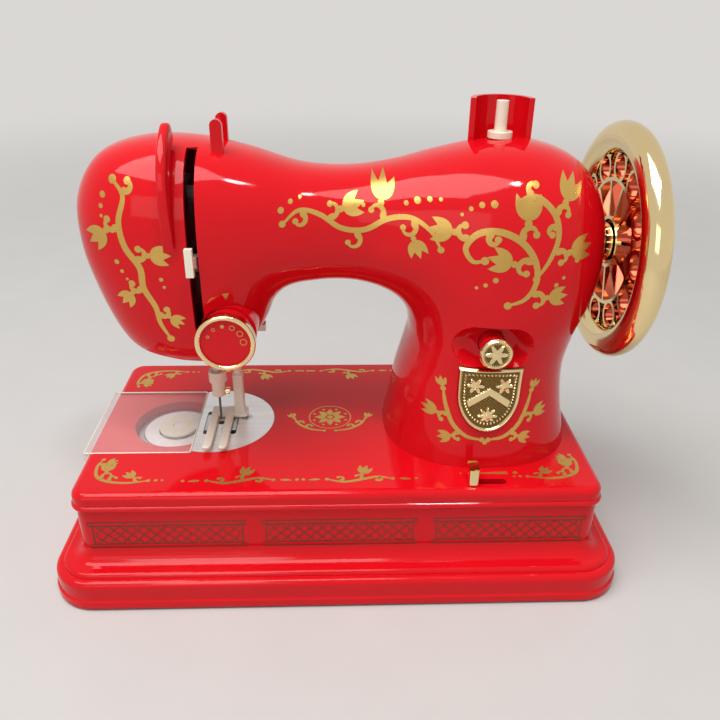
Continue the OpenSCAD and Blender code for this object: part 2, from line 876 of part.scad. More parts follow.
module bobbin() color(ivory) translate([hook_x, 0, bobbin_z]) difference() {
    union() {
        cylinder(h = bobbin_flange, r = bobbin_r);
        cylinder(h = bobbin_h, r = bobbin_core_r);
        translate([0, 0, bobbin_h - bobbin_flange]) cylinder(h = bobbin_flange, r = bobbin_r);
    }
    translate([0, 0, -overrun]) cylinder(h = bobbin_h + 2 * overrun, r = bobbin_bore_r);
}

// The hook is a cup on a hub, with a crown of teeth under it
module shuttle_hook() color(steel) translate([hook_x, 0, 0]) difference() {
    union() {
        translate([0, 0, hook_z]) cylinder(h = hook_h, r = hook_r);
        translate([0, 0, crown_z]) cylinder(h = hook_z - crown_z, r = hook_hub_r);
        translate([0, 0, crown_z]) cylinder(h = crown_disc_t, r = crown_r + gear_w / 2);
        for (k = [0 : low_gear_n - 1]) rotate([0, 0, (k + 0.5) * 360 / low_gear_n])
            block([crown_r - gear_w / 2, -crown_tooth_w / 2, tooth_z],
                [crown_r + gear_w / 2 - run_gap, crown_tooth_w / 2, crown_z + crown_disc_t / 2]);
    }
    translate([0, 0, hook_z + hook_floor]) cylinder(h = overrun, r = hook_r - hook_wall);
    translate([0, 0, tooth_z - overrun]) cylinder(h = 3 * overrun, r = post_r + run_gap);
}

module feed_dog() color(steel) difference() {
    union() {
        block([needle_x - feed_dx - feed_bar_w / 2, needle_y - feed_plate_d / 2, feed_z0],
            [needle_x + cam_dx + feed_leg_w / 2, needle_y + feed_plate_d / 2, feed_z0 + feed_plate_t]);
        for (side = [-1, 1])
            block([needle_x + side * feed_dx - feed_bar_w / 2, needle_y - feed_bar_l / 2, feed_z0],
                [needle_x + side * feed_dx + feed_bar_w / 2, needle_y + feed_bar_l / 2,
                    deck_h + feed_proud]);
        block([needle_x + cam_dx - feed_leg_w / 2, -feed_leg_d / 2, low_z + cam_r + cam_throw + feed_leg_gap],
            [needle_x + cam_dx + feed_leg_w / 2, feed_leg_d / 2, feed_z0 + feed_plate_t]);
    }
    rod_z([needle_x, needle_y, feed_z0 - overrun], 2 * overrun, feed_hole_r);
    rod_y([needle_x + cam_dx, -rail_half, rail_z], 2 * rail_half, rail_r + run_gap);
}

module feed_rail() color(steel) {
    rod_y([needle_x + cam_dx, -rail_half - rail_post_t, rail_z], 2 * (rail_half + rail_post_t), rail_r);
    for (side = [-1, 1])
        translate([needle_x + cam_dx, side * (rail_half + rail_post_t / 2), floor_z])
            linear_extrude(rail_z + 2 * rail_r - floor_z)
                square([feed_leg_w, rail_post_t], center = true);
}

module lower_shaft() color(steel) {
    rod_x([low_x0, 0, low_z], pulley_x + pulley_w - low_x0, low_r);
    across_x([pinion_x - gear_w / 2 + run_gap, 0, low_z], gear_w - 2 * run_gap)
        polygon(gear_points(low_gear_n, 90));
    rod_x([needle_x + cam_dx - cam_w / 2, cam_throw, low_z], cam_w, cam_r);
}

// Flanged pulley with the shaft's bore
module pulley(z, bore) difference() {
    union() {
        rod_x([pulley_x, 0, z], pulley_w, pulley_r);
        for (x = [pulley_x, pulley_x + pulley_w - flange_t])
            rod_x([x, 0, z], flange_t, pulley_r + pulley_lip);
    }
    rod_x([pulley_x - overrun, 0, z], pulley_w + 2 * overrun, bore);
}

module lower_pulley() color(dark) pulley(low_z, low_r);

module upper_pulley() color(dark) pulley(shaft_z, shaft_r);

// Loop round both pulleys, as tall as the distance between their shafts
module belt_loop(r) {
    for (z = [low_z, shaft_z]) translate([0, z]) circle(r);
    translate([-r, low_z]) square([2 * r, shaft_z - low_z]);
}

module drive_belt() color(dark)
    across_x([pulley_x + flange_t + free_gap, 0, 0], pulley_w - 2 * flange_t - 2 * free_gap) difference() {
        belt_loop(pulley_r + belt_gap + belt_t);
        belt_loop(pulley_r + belt_gap);
    }

// Chassis

module bearing_lug(x) block([x, -bush_r - lug_rim, shaft_z - bush_r - lug_rim],
    [x + bearing_lug_w, frame_y + join_in, shaft_z + bush_r + lug_rim]);

bush_r = shaft_r + bush_wall;
take_ear_x = needle_x - slot_w - ear_w;
switch_back = switch_y + switch_box_t;
shelf_z = button_z - bracket_drop;
lifter_x = presser_x + lifter_dx;
lifter_y = presser_y - presser_bar_r - run_gap - lug_rim / 2 - lifter_lug_gap - lifter_w;
lug_front = lifter_y + lifter_w + lifter_lug_gap;

module arm_frame() color(steel) difference() {
    union() {
        block([needle_x - plate_left_dx, frame_y, shaft_z - spine_below],
            [bearing_right_x + bearing_lug_w, frame_y + frame_t, shaft_z - spine_below + spine_h]);
        block([needle_x - plate_left_dx, frame_y, plate_bottom_z],
            [needle_x + plate_right_dx, frame_y + frame_t, plate_top_z]);
        block([column_x - leg_w / 2, frame_y, deck_h], [column_x + leg_w / 2, frame_y + frame_t, shaft_z]);
        block([column_x - leg_w / 2, frame_y, deck_h],
            [column_x + leg_w / 2, frame_y + flange_d + boss_r, deck_h + flange_h]);
        for (z = [plate_bottom_z, plate_top_z - lug_h])
            block([needle_x - needle_bar_r - lug_wall, needle_y - needle_bar_r - lug_wall, z],
                [needle_x + needle_bar_r + lug_rim, frame_y + join_in, z + lug_h]);
        for (z = [plate_bottom_z, mid_lug_z])
            block([needle_x, lug_front, z],
                [presser_x + presser_bar_r + lug_rim, frame_y + (z > plate_bottom_z ? join_in : -frame_t),
                    z + lug_h]);
        block([needle_x, presser_y + lug_rim, mid_lug_z],
            [presser_x + presser_bar_r + lug_rim, frame_y + frame_t, mid_lug_z + lug_h]);
        block([presser_x, lug_front, plate_bottom_z],
            [lifter_x + lifter_hub_r, presser_y + lug_rim, plate_bottom_z + lug_h + lug_rim]);
        rod_y([lifter_x, lifter_y - free_gap, lifter_z], lifter_w + 2 * lug_rim, lifter_pin_r);
        block([take_ear_x, take_y - ear_h / 2, take_z - ear_h / 2],
            [take_ear_x + ear_w, frame_y + join_in, take_z + ear_h / 2]);
        rod_x([take_ear_x, take_y, take_z], needle_x - take_ear_x + take_hub_l, take_pin_r);
        bearing_lug(bearing_left_x);
        bearing_lug(bearing_right_x);
        block([motor_x0 + motor_gap, motor_r - lug_wall, motor_z - saddle_h / 2],
            [motor_x0 + motor_gap + saddle_l, frame_y + join_in, motor_z + saddle_h / 2]);
        block([button_x - switch_box / 2, switch_back, shelf_z - bracket_t],
            [button_x + switch_box / 2, frame_y + join_in, shelf_z]);
        block([button_x - switch_box / 2, switch_back, shelf_z - bracket_t],
            [button_x + switch_box / 2, switch_back + bracket_t, button_z + switch_box / 2]);
    }
    for (x = [bearing_left_x, bearing_right_x])
        rod_x([x - overrun, 0, shaft_z], bearing_lug_w + 2 * overrun, bush_r);
    rod_z([needle_x, needle_y, plate_bottom_z - overrun], body_h, needle_bar_r + run_gap);
    rod_z([presser_x, presser_y, plate_bottom_z - overrun], mid_lug_z - plate_bottom_z + 2 * overrun,
        presser_bar_r + run_gap);
    rod_x([motor_x0, 0, motor_z], motor_l, motor_r + seat_gap);
    for (side = [-1, 1])
        rod_z([column_x + side * frame_screw_dx, frame_y + flange_d, deck_h - overrun],
            flange_h + 2 * overrun, screw_r);
}

// Body shells

module half_shell(from_angle) skin(from_angle, 0, -shell_t, 0, station_last);

// Point on a screw post's axis, at a depth
function boss_at(i, y) = [body_x0 + boss_shares[i][0] * body_l, y, deck_h + boss_shares[i][1] * body_h];

// Round post from the seam to the wall, ending inside the wall
module boss(i, side) {
    depth = body_d / 2 * boss_shares[i][2] - shell_t / 2;
    rod_y(boss_at(i, side < 0 ? -depth : 0), depth, boss_r);
}

module boss_bore(i) rod_y(boss_at(i, -screw_l), screw_l + boss_floor + join_in, screw_r);

module boss_counterbore(i) rod_y(boss_at(i, boss_floor), body_d, screw_head_r + seat_gap);

module take_up_slot() block([needle_x - slot_w / 2, -body_d, deck_h],
    [needle_x + slot_w / 2, take_y + slot_back, deck_h + body_h - slot_drop]);

module shaft_hole() rod_x([column_x, 0, shaft_z], body_l, shaft_hole_r);

module guide_slot(y) translate([needle_x + guide_dx, y, shaft_z]) linear_extrude(body_h)
    square([guide_w + 2 * seat_gap, guide_t + 2 * seat_gap], center = true);

module lifter_notch() block([lifter_x, lifter_y - free_gap, deck_h],
    [lifter_x + overrun, lug_front, lifter_z + notch_h / 2]);

module left_of_seam() block([body_x0 - overrun, -body_d, deck_h],
    [needle_x, body_d, deck_h + body_h + overrun]);

module front_shell() color(red) difference() {
    union() {
        half_shell(180);
        for (i = [1 : 3]) boss(i, -1);
    }
    left_of_seam();
    take_up_slot();
    shaft_hole();
    guide_slot(guide_front_y);
    lifter_notch();
    rod_y([dial_x, -body_d, dial_z], body_d - seat_back, seat_r + seat_gap);
    across_y([button_x, 0, button_z], body_d) pill(pill_l, pill_h);
    for (i = [1 : 3]) boss_bore(i);
}

module rear_shell() color(red) difference() {
    union() {
        half_shell(0);
        for (i = [0 : 3]) boss(i, 1);
    }
    shaft_hole();
    guide_slot(guide_rear_y);
    lifter_notch();
    rod_z([spool_x, spool_y, shaft_z], body_h, spool_r + seat_gap);
    translate([spool_x, spool_y, arm_top_z - guard_in - seat_gap]) linear_extrude(body_h)
        guard_ring(seat_gap);
    for (i = [0 : 3]) {
        boss_bore(i);
        boss_counterbore(i);
    }
}

module face_cover() color(red) difference() {
    intersection() {
        union() {
            half_shell(180);
            boss(0, -1);
        }
        left_of_seam();
    }
    take_up_slot();
    block([fin_x - fin_t / 2 - seat_gap, -body_d, tenon_at[1] - tenon_h / 2 - seat_gap],
        [fin_x + fin_t / 2 + seat_gap, 0, tenon_at[1] + tenon_h / 2 + seat_gap]);
    boss_bore(0);
}

// Thread path on the head and the spool on the arm

fin_x = needle_x - fin_dx;
fin_first = 9;
fin_last = 20;
function head_front(a, out) = let (line = [for (i = [fin_first : fin_last]) skin_point(i, -a, out)])
    [lookup(fin_x, [for (p = line) [p[0], p[1]]]), lookup(fin_x, [for (p = line) [p[0], p[2]]])];
tenon_at = head_front(tenon_angle, fin_gap);
dial_x = needle_x + dial_dx;

// Crescent that follows the head's front with room for the thread behind it, and a tenon in the cover
module thread_fin() color(red) {
    across_x([fin_x - fin_t / 2, 0, 0], fin_t) difference() {
        polygon(concat([for (i = [0 : arc_steps]) head_front(fin_end * i / arc_steps, fin_gap)],
            [for (i = [arc_steps : -1 : 0]) let (a = fin_end * i / arc_steps)
                head_front(a, fin_gap + fin_rise * cos(90 * i / arc_steps) + join_in)]));
        translate([fin_tip_y, 0]) square([body_d, 2 * body_h]);
    }
    block([fin_x - fin_t / 2, tenon_at[0] - tenon_hold, tenon_at[1] - tenon_h / 2],
        [fin_x + fin_t / 2, tenon_at[0] + tenon_in, tenon_at[1] + tenon_h / 2]);
}

guide_z = deck_h + body_h - guide_in;

module thread_guide() color(red) translate([needle_x + guide_dx, 0, 0]) {
    block([-guide_w / 2, guide_front_y - guide_t / 2, guide_z - guide_t],
        [guide_w / 2, guide_rear_y + guide_t / 2, guide_z]);
    for (y = [guide_front_y, guide_rear_y])
        translate([0, y + guide_t / 2, 0]) rotate([90, 0, 0]) linear_extrude(guide_t) {
            translate([-guide_w / 2, guide_z - guide_t])
                square([guide_w, deck_h + body_h + guide_top - guide_w / 2 - guide_z + guide_t]);
            translate([0, deck_h + body_h + guide_top - guide_w / 2]) circle(guide_w / 2);
        }
}

// Half ring behind the spool pin
module guard_ring(grow) difference() {
    circle(guard_r + grow);
    circle(guard_r - guard_t - grow);
    translate([-2 * guard_r, -2 * guard_r]) square([4 * guard_r, 2 * guard_r - grow]);
}

module spool_guard() color(red) translate([spool_x, spool_y, arm_top_z - guard_in])
    linear_extrude(guard_in + guard_rise) guard_ring(0);

module spool_pin() color(ivory) translate([spool_x, spool_y, arm_top_z]) {
    translate([0, 0, -spool_in]) cylinder(h = spool_in + pin_h, r = spool_r);
    translate([0, 0, spool_seat]) cylinder(h = spool_flange_h, r = spool_flange_r);
}

// Shield with a flat top, straight flanks and a round foot
function shield_points(shrink) = let (w = badge_w / 2 - shrink, top = -shrink,
    knee = -badge_straight_share * badge_h, drop = (1 - badge_straight_share) * badge_h - shrink)
    concat([[w, top], [-w, top]], [for (i = [0 : 2 * arc_steps]) let (a = 180 + 180 * i / (2 * arc_steps))
        [w * cos(a), knee + drop * sin(a)]]);

// The badge covers the last stations above the foot
badge_rows = 7;
badge_first = station_last - badge_rows;

module shield_badge() color(gold) union() {
    intersection() {
        skin(180, badge_t, 0, badge_first, station_last);
        across_y([badge_x, 0, badge_z], body_d) polygon(shield_points(0));
    }
    intersection() {
        skin(180, badge_t + badge_rim_t, badge_t / 2, badge_first, station_last);
        across_y([badge_x, 0, badge_z], body_d) difference() {
            polygon(shield_points(0));
            polygon(shield_points(badge_rim));
        }
    }
}

// Start button in its sunken bezel

module button_bezel() color(dark_red) difference() {
    across_y([button_x, -bezel_front + bezel_t, button_z], bezel_t)
        pill(pill_l - 2 * seat_gap, pill_h - 2 * seat_gap);
    rod_y([button_x, -body_d, button_z], 2 * body_d, stem_r + free_gap);
}

module button_stem() color(red) {
    rod_y([button_x, -stem_front, button_z], stem_front - stem_back, stem_r);
    rod_y([button_x, -bezel_front + bezel_t + free_gap, button_z], stem_flange_t, stem_r + lug_rim);
}

module button_medallion() color(gold)
    rod_y([button_x, -stem_front - medallion_t, button_z], medallion_t, button_r);

module button_spring() color(steel) difference() {
    rod_y([button_x, -stem_back, button_z], spring_l, spring_r);
    rod_y([button_x, -stem_back - overrun, button_z], 2 * overrun + spring_l, spring_r - spring_wall);
}

module push_switch() color(dark) translate([button_x, switch_y + switch_box_t / 2, button_z])
    cube([switch_box, switch_box_t, switch_box], center = true);

// Tension dial on its seat

module dial_seat() color(red) difference() {
    rod_y([dial_x, -seat_front, dial_z], seat_front - seat_back, seat_r);
    rod_y([dial_x, -seat_front - overrun, dial_z], seat_front + 2 * overrun, dial_shaft_r + run_gap);
}

module tension_dial() color(red) {
    rod_y([dial_x, -dial_front, dial_z], dial_front - drum_back, dial_drum_r);
    rod_y([dial_x, -drum_back, dial_z], drum_back - seat_back, dial_shaft_r);
    for (k = [0 : dial_dot_n - 1]) let (a = 90 + (k - (dial_dot_n - 1) / 2) * dial_dot_step)
        rod_y([dial_x + dial_dot_share * dial_drum_r * cos(a), -dial_front - dial_dot_h,
            dial_z + dial_dot_share * dial_drum_r * sin(a)], 2 * dial_dot_h, dial_dot_r);
}

module dial_ring() color(gold) difference() {
    rod_y([dial_x, -dial_front - dial_ring_proud, dial_z], dial_ring_l, dial_r);
    rod_y([dial_x, -dial_front - overrun, dial_z], 2 * overrun, dial_drum_r);
}

// Needle, take-up and presser

module take_up_lever() color(ivory) difference() {
    union() {
        rod_x([needle_x - take_t / 2 - take_hub_l, take_y, take_z], take_t + take_hub_l, take_hub_r);
        across_x([needle_x - take_t / 2, 0, 0], take_t) polygon([[take_y, take_z - take_hub_r],
            [take_y, take_z + take_hub_r], [take_y - take_reach, take_z + take_rise + take_bar_w / 2],
            [take_y - take_reach, take_z + take_rise - take_bar_w / 2]]);
        block([needle_x - take_tab_w / 2, take_y - take_reach - take_tab_d / 2,
            take_z + take_rise - take_tab_h / 2], [needle_x + take_tab_w / 2,
            take_y - take_reach + take_tab_d / 2, take_z + take_rise + take_tab_h / 2]);
    }
    rod_x([needle_x - overrun, take_y, take_z], 2 * overrun, take_pin_r + run_gap);
}

module needle_bar() color(steel)
    rod_z([needle_x, needle_y, needle_top_z], needle_bar_top_z - needle_top_z, needle_bar_r);

yoke_x = crank_x - crank_pin_l - free_gap;
yoke_z = shaft_z + crank_rise;

// Slotted plate beside the crank, on an arm that grips the needle bar
module needle_yoke() color(dark) difference() {
    union() {
        block([yoke_x - yoke_t, -yoke_half_d, yoke_z - yoke_h / 2],
            [yoke_x, yoke_half_d, yoke_z + yoke_h / 2]);
        block([needle_x - needle_bar_r - yoke_rim, needle_y - yoke_arm_front, yoke_z - yoke_h / 2],
            [yoke_x, needle_y + yoke_arm_front, yoke_z + yoke_h / 2]);
    }
    across_x([yoke_x - yoke_t, 0, yoke_z], overrun) pill(2 * yoke_slot_half, 2 * (crank_pin_r + free_gap));
    rod_z([needle_x, needle_y, yoke_z - overrun], 2 * overrun, needle_bar_r);
}

clamp_z = needle_top_z + clamp_hold;

module needle_clamp() color(ivory) difference() {
    union() {
        rod_z([needle_x, needle_y, clamp_z], clamp_h, clamp_r);
        rod_z([needle_x, needle_y, clamp_z - clamp_neck_h], clamp_neck_h, clamp_neck_r);
    }
    rod_z([needle_x, needle_y, needle_top_z], overrun, needle_bar_r);
    rod_z([needle_x, needle_y, needle_top_z - overrun], 2 * overrun, needle_r);
    rod_x([needle_x, needle_y, clamp_screw_z], overrun, clamp_screw_r);
}

clamp_screw_z = clamp_z - clamp_neck_h / 2 - clamp_hold;

module clamp_screw() color(gold) {
    rod_x([needle_x + needle_r, needle_y, clamp_screw_z], clamp_screw_l, clamp_screw_r);
    rod_x([needle_x + needle_r + clamp_screw_l - clamp_screw_head_l, needle_y, clamp_screw_z],
        clamp_screw_head_l, clamp_screw_head_r);
}

module needle() color(dark) translate([needle_x, needle_y, needle_tip_z]) {
    cylinder(h = needle_point, r1 = needle_r / 6, r2 = needle_r);
    translate([0, 0, needle_point]) cylinder(h = needle_l - needle_point, r = needle_r);
}

sole_z = deck_h + sole_gap;
ankle_top = sole_z + ankle_h;

module presser_bar() color(ivory) {
    rod_z([presser_x, presser_y, ankle_top - ankle_hold], presser_top_z - ankle_top + ankle_hold,
        presser_bar_r);
    rod_z([presser_x, presser_y, collar_z], collar_h, collar_r);
    block([presser_x - presser_bar_r, presser_y - bracket_d, collar_z],
        [presser_x - presser_bar_r + bracket_l, presser_y, collar_z + collar_h]);
}

// Two long toes either side of the needle, a bridge behind it and an ankle up to the bar
module presser_foot() color([0.92, 0.89, 0.8, 0.8]) difference() {
    union() {
        for (side = [-1, 1])
            translate([needle_x + side * (toe_gap + toe_w) / 2, needle_y - toe_front, sole_z])
                linear_extrude(sole_t) {
                    translate([-toe_w / 2, toe_w / 2]) square([toe_w, toe_front + toe_back - toe_w / 2]);
                    translate([0, toe_w / 2]) circle(toe_w / 2);
                }
        block([needle_x - toe_gap / 2 - toe_w, needle_y + toe_back - sole_bridge, sole_z],
            [presser_x + ankle_w / 2, needle_y + toe_back, sole_z + sole_t]);
        block([presser_x - ankle_w / 2, presser_y - ankle_d / 2, sole_z],
            [presser_x + ankle_w / 2, presser_y + ankle_d / 2, ankle_top]);
    }
    rod_z([presser_x, presser_y, ankle_top - ankle_hold], overrun, presser_bar_r);
}

module presser_spring() color(steel) difference() {
    rod_z([presser_x, presser_y, spring_z], mid_lug_z - spring_z, collar_r - spring_wall / 2);
    rod_z([presser_x, presser_y, collar_z], overrun, presser_bar_r + free_gap);
}

module presser_lifter() color(ivory) difference() {
    union() {
        rod_y([lifter_x, lifter_y, lifter_z], lifter_w, lifter_hub_r);
        block([lifter_x - cam_l, lifter_y, collar_z - free_gap - cam_h], [lifter_x, lifter_y + lifter_w,
            collar_z - free_gap]);
        block([lifter_x, lifter_y, lifter_z - tab_h / 2], [lifter_x + tab_l, lifter_y + lifter_w,
            lifter_z + tab_h / 2]);
    }
    rod_y([lifter_x, lifter_y - overrun, lifter_z], 2 * overrun, lifter_pin_r + run_gap);
}

// Main shaft and drive

module main_shaft() color(steel) rod_x([crank_x, 0, shaft_z], wheel_x0 + wheel_w - crank_x, shaft_r);

module shaft_bushes() color("peru") for (x = [bearing_left_x, bearing_right_x]) difference() {
    rod_x([x - bush_over, 0, shaft_z], bearing_lug_w + 2 * bush_over, bush_r);
    rod_x([x - overrun, 0, shaft_z], 2 * overrun + bearing_lug_w, shaft_r + run_gap);
}

crank_pin_y = -sqrt(pow(crank_throw, 2) - pow(crank_rise, 2));

module crank_disc() color(steel) {
    difference() {
        rod_x([crank_x, 0, shaft_z], crank_disc_t, crank_disc_r);
        rod_x([crank_x - overrun, 0, shaft_z], 2 * overrun, shaft_r);
    }
    rod_x([crank_x - crank_pin_l, crank_pin_y, shaft_z + crank_rise], crank_pin_l, crank_pin_r);
}

gear_x = column_x + drive_gear_dx;
motor_x0 = gear_x + drive_gear_w + motor_gap;

module drive_gear() color(ivory) difference() {
    across_x([gear_x, 0, shaft_z], drive_gear_w)
        polygon(gear_points(drive_gear_n, -90 + 180 / drive_gear_n));
    rod_x([gear_x - overrun, 0, shaft_z], 2 * overrun, shaft_r);
}

module motor() color(steel) difference() {
    rod_x([motor_x0, 0, motor_z], motor_l, motor_r);
    rod_x([motor_x0 - overrun, 0, motor_z], overrun + motor_bore_l, motor_shaft_r + run_gap);
}

module motor_pinion() color("peru") {
    across_x([gear_x, 0, motor_z], drive_gear_w) polygon(gear_points(motor_gear_n, 90));
    rod_x([gear_x, 0, motor_z], motor_x0 - gear_x + motor_bore_l - free_gap, motor_shaft_r);
}

// Handwheel: a thick round rim, a thin web and a hub, turned about the shaft
module handwheel() color(gold) translate([wheel_x0, 0, shaft_z]) rotate([0, 90, 0]) difference() {
    rotate_extrude() {
        for (r = [wheel_r - rim_r, wheel_r - rim_band + rim_r]) translate([r, wheel_w / 2]) circle(rim_r);
        translate([wheel_r - rim_band + rim_r, 0]) square([rim_band - 2 * rim_r, wheel_w]);
        translate([shaft_r, wheel_w / 2]) square([wheel_r - rim_band, web_t]);
        translate([shaft_r, 0]) square([hub_r - shaft_r, wheel_w]);
    }
    translate([0, 0, -overrun]) cylinder(h = 2 * overrun, r = shaft_r);
}

// Ring of a given line width
module ring(r) difference() {
    circle(r);
    circle(r - tracery_line);
}

tracery_r = wheel_r - rim_band + rim_r / 4;
arch_ring_r = tracery_r - arch_r;
inner_ring_r = arch_ring_r - arch_r + tracery_line;

// Open tracery on both faces of the web: arches round the rim, spokes and a ring about the hub
module wheel_tracery() color(gold) for (x = [web_x - tracery_t, web_x + web_t])
across_x([x, 0, shaft_z], tracery_t) difference() {
    union() {
        ring(inner_ring_r);
        ring(hub_r + 2 * tracery_line);
        for (k = [0 : arch_n - 1]) rotate(k * 360 / arch_n) {
            translate([arch_ring_r, 0]) ring(arch_r);
            rotate(180 / arch_n) translate([hub_r + tracery_line, -tracery_line / 2])
                square([inner_ring_r - hub_r - tracery_line, tracery_line]);
        }
    }
    circle(hub_r + seat_gap);
    difference() {
        circle(2 * wheel_r);
        circle(wheel_r - rim_band - seat_gap);
    }
}

base_shell();
base_bottom();
rubber_feet();
casing_screws();
battery_tray();
battery_door();
battery_cells();
battery_contacts();
circuit_board();
slide_switch();
speed_lever();
needle_plate();
plate_screw();
bobbin_cover();
bobbin_case();
bobbin();
shuttle_hook();
feed_dog();
feed_rail();
lower_shaft();
lower_pulley();
drive_belt();
arm_frame();
front_shell();
rear_shell();
face_cover();
thread_fin();
thread_guide();
spool_guard();
spool_pin();
shield_badge();
button_bezel();
button_stem();
button_medallion();
button_spring();
push_switch();
dial_seat();
tension_dial();
dial_ring();
take_up_lever();
needle_bar();
needle_yoke();
needle_clamp();
clamp_screw();
needle();
presser_bar();
presser_foot();
presser_spring();
presser_lifter();
main_shaft();
shaft_bushes();
crank_disc();
drive_gear();
upper_pulley();
motor();
motor_pinion();
handwheel();
wheel_tracery();
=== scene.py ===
"""Toy sewing machine in glossy red plastic with gold trim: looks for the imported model."""
import json
import math

import bmesh
import bpy
import numpy as np
from bpy.props import FloatProperty, FloatVectorProperty, IntProperty, PointerProperty
from bpy.types import Operator, Panel, PropertyGroup
from mathutils import Matrix, Vector


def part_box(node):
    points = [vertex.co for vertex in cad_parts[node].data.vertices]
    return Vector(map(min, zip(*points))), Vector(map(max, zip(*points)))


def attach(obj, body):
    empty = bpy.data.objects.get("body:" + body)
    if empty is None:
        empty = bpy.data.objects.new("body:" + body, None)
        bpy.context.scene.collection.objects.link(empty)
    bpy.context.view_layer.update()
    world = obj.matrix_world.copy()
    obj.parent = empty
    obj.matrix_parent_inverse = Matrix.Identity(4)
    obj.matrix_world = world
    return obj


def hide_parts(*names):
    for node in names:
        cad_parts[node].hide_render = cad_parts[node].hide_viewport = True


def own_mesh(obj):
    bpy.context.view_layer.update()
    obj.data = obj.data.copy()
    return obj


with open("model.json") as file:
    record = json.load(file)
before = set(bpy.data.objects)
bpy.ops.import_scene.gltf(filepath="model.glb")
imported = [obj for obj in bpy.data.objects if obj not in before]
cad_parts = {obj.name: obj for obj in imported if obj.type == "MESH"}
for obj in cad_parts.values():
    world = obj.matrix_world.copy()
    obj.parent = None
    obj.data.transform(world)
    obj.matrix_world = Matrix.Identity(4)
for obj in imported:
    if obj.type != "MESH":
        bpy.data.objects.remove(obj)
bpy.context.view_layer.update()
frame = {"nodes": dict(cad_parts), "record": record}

bl_info = {
    "name": "Toy sewing machine",
    "version": (1, 0, 0),
    "blender": (4, 5, 0),
    "location": "3D View > Sidebar > Sewing machine",
    "description": "Dresses the toy sewing machine: casing, gold print, trim, finishes and stage",
    "category": "Object",
}

MM = 0.001
NODE_SLOT = {row["node"]: row["material_slot"] for row in frame["record"]["subparts"]}

# Shares of the casing's length, height and depth along its run from the needle head over the arm to the
# column's foot: outer edge (x, z), inner edge (x, z), depth.
CASING_STATIONS = np.array([
    [0.104, 0.339, 0.312, 0.318, 0.53], [0.069, 0.377, 0.324, 0.353, 0.66],
    [0.044, 0.452, 0.335, 0.397, 0.736], [0.019, 0.579, 0.349, 0.445, 0.78],
    [0.004, 0.709, 0.36, 0.49, 0.802], [0.01, 0.846, 0.373, 0.519, 0.802],
    [0.054, 0.955, 0.388, 0.539, 0.79], [0.133, 1, 0.404, 0.551, 0.758],
    [0.229, 1, 0.421, 0.558, 0.714], [0.321, 0.969, 0.442, 0.562, 0.66],
    [0.417, 0.923, 0.467, 0.565, 0.593], [0.508, 0.914, 0.496, 0.565, 0.582],
    [0.592, 0.932, 0.525, 0.56, 0.615], [0.675, 0.966, 0.558, 0.547, 0.703],
    [0.762, 0.993, 0.588, 0.524, 0.791], [0.854, 0.992, 0.61, 0.493, 0.879],
    [0.933, 0.942, 0.624, 0.455, 0.945], [0.981, 0.832, 0.63, 0.414, 0.978],
    [0.998, 0.688, 0.632, 0.373, 0.989], [0.99, 0.551, 0.627, 0.325, 0.967],
    [0.967, 0.421, 0.618, 0.271, 0.923], [0.954, 0.298, 0.607, 0.202, 0.912],
    [0.96, 0.161, 0.597, 0.106, 0.945], [0.979, 0, 0.585, 0, 1]])

FAR = 0.4  # reach of a form that cuts right through
# (x, z) of the sunk screws at the back and (x, y) of the two bars in the head, in mm
REAR_SCREWS = ((-89.4, 158.7), (10.2, 171.8), (87.0, 173.3), (50.0, 66.0))
NEEDLE_BAR, PRESSER_BAR = (-61.5, -3.0), (-52.5, 5.0)


def length(label, text, default):
    """A size or place for the sidebar, given in mm and kept in metres."""
    return FloatProperty(name=label, description=text, default=default * MM, unit="LENGTH", precision=5)


def degrees(label, text, default):
    """An angle for the sidebar, given in degrees."""
    return FloatProperty(name=label, description=text, default=math.radians(default), subtype="ANGLE")


def watts(label, text, default):
    """A lamp's power in watts for the sidebar."""
    return FloatProperty(name=label, description=text, default=default, min=0, subtype="POWER")


def tint(label, text, default):
    """A linear colour for the sidebar."""
    return FloatVectorProperty(name=label, description=text, default=default, size=3, min=0, max=1,
                               subtype="COLOR")


class CasingSizes(PropertyGroup):
    """Sizes of the arm's casing."""
    left: length("Left end", "Where the head's left end lies", -117)
    run: length("Length", "Head's left end to column's right side", 240)
    rise: length("Height", "Deck to top of arm", 146)
    depth: length("Depth", "Front to back at the column's foot", 91)
    deck: length("Deck", "Height of the deck", 56.5)
    wall: length("Wall", "Thickness of the casing's wall", 2.4)
    power: FloatProperty(name="Squareness", description="Power of the rounded section", default=2.35, min=2)
    seam_x: length("Seam", "Where face cover and front shell meet", -61.5)
    slot_w: length("Slot width", "Width of the take-up slot", 4.4)
    slot_top: length("Slot top", "Top of the take-up slot", 200.5)
    rows: IntProperty(name="Rows", description="Grid rows along the casing", default=340, min=60)
    cols: IntProperty(name="Columns", description="Grid columns round half a section", default=76, min=16)


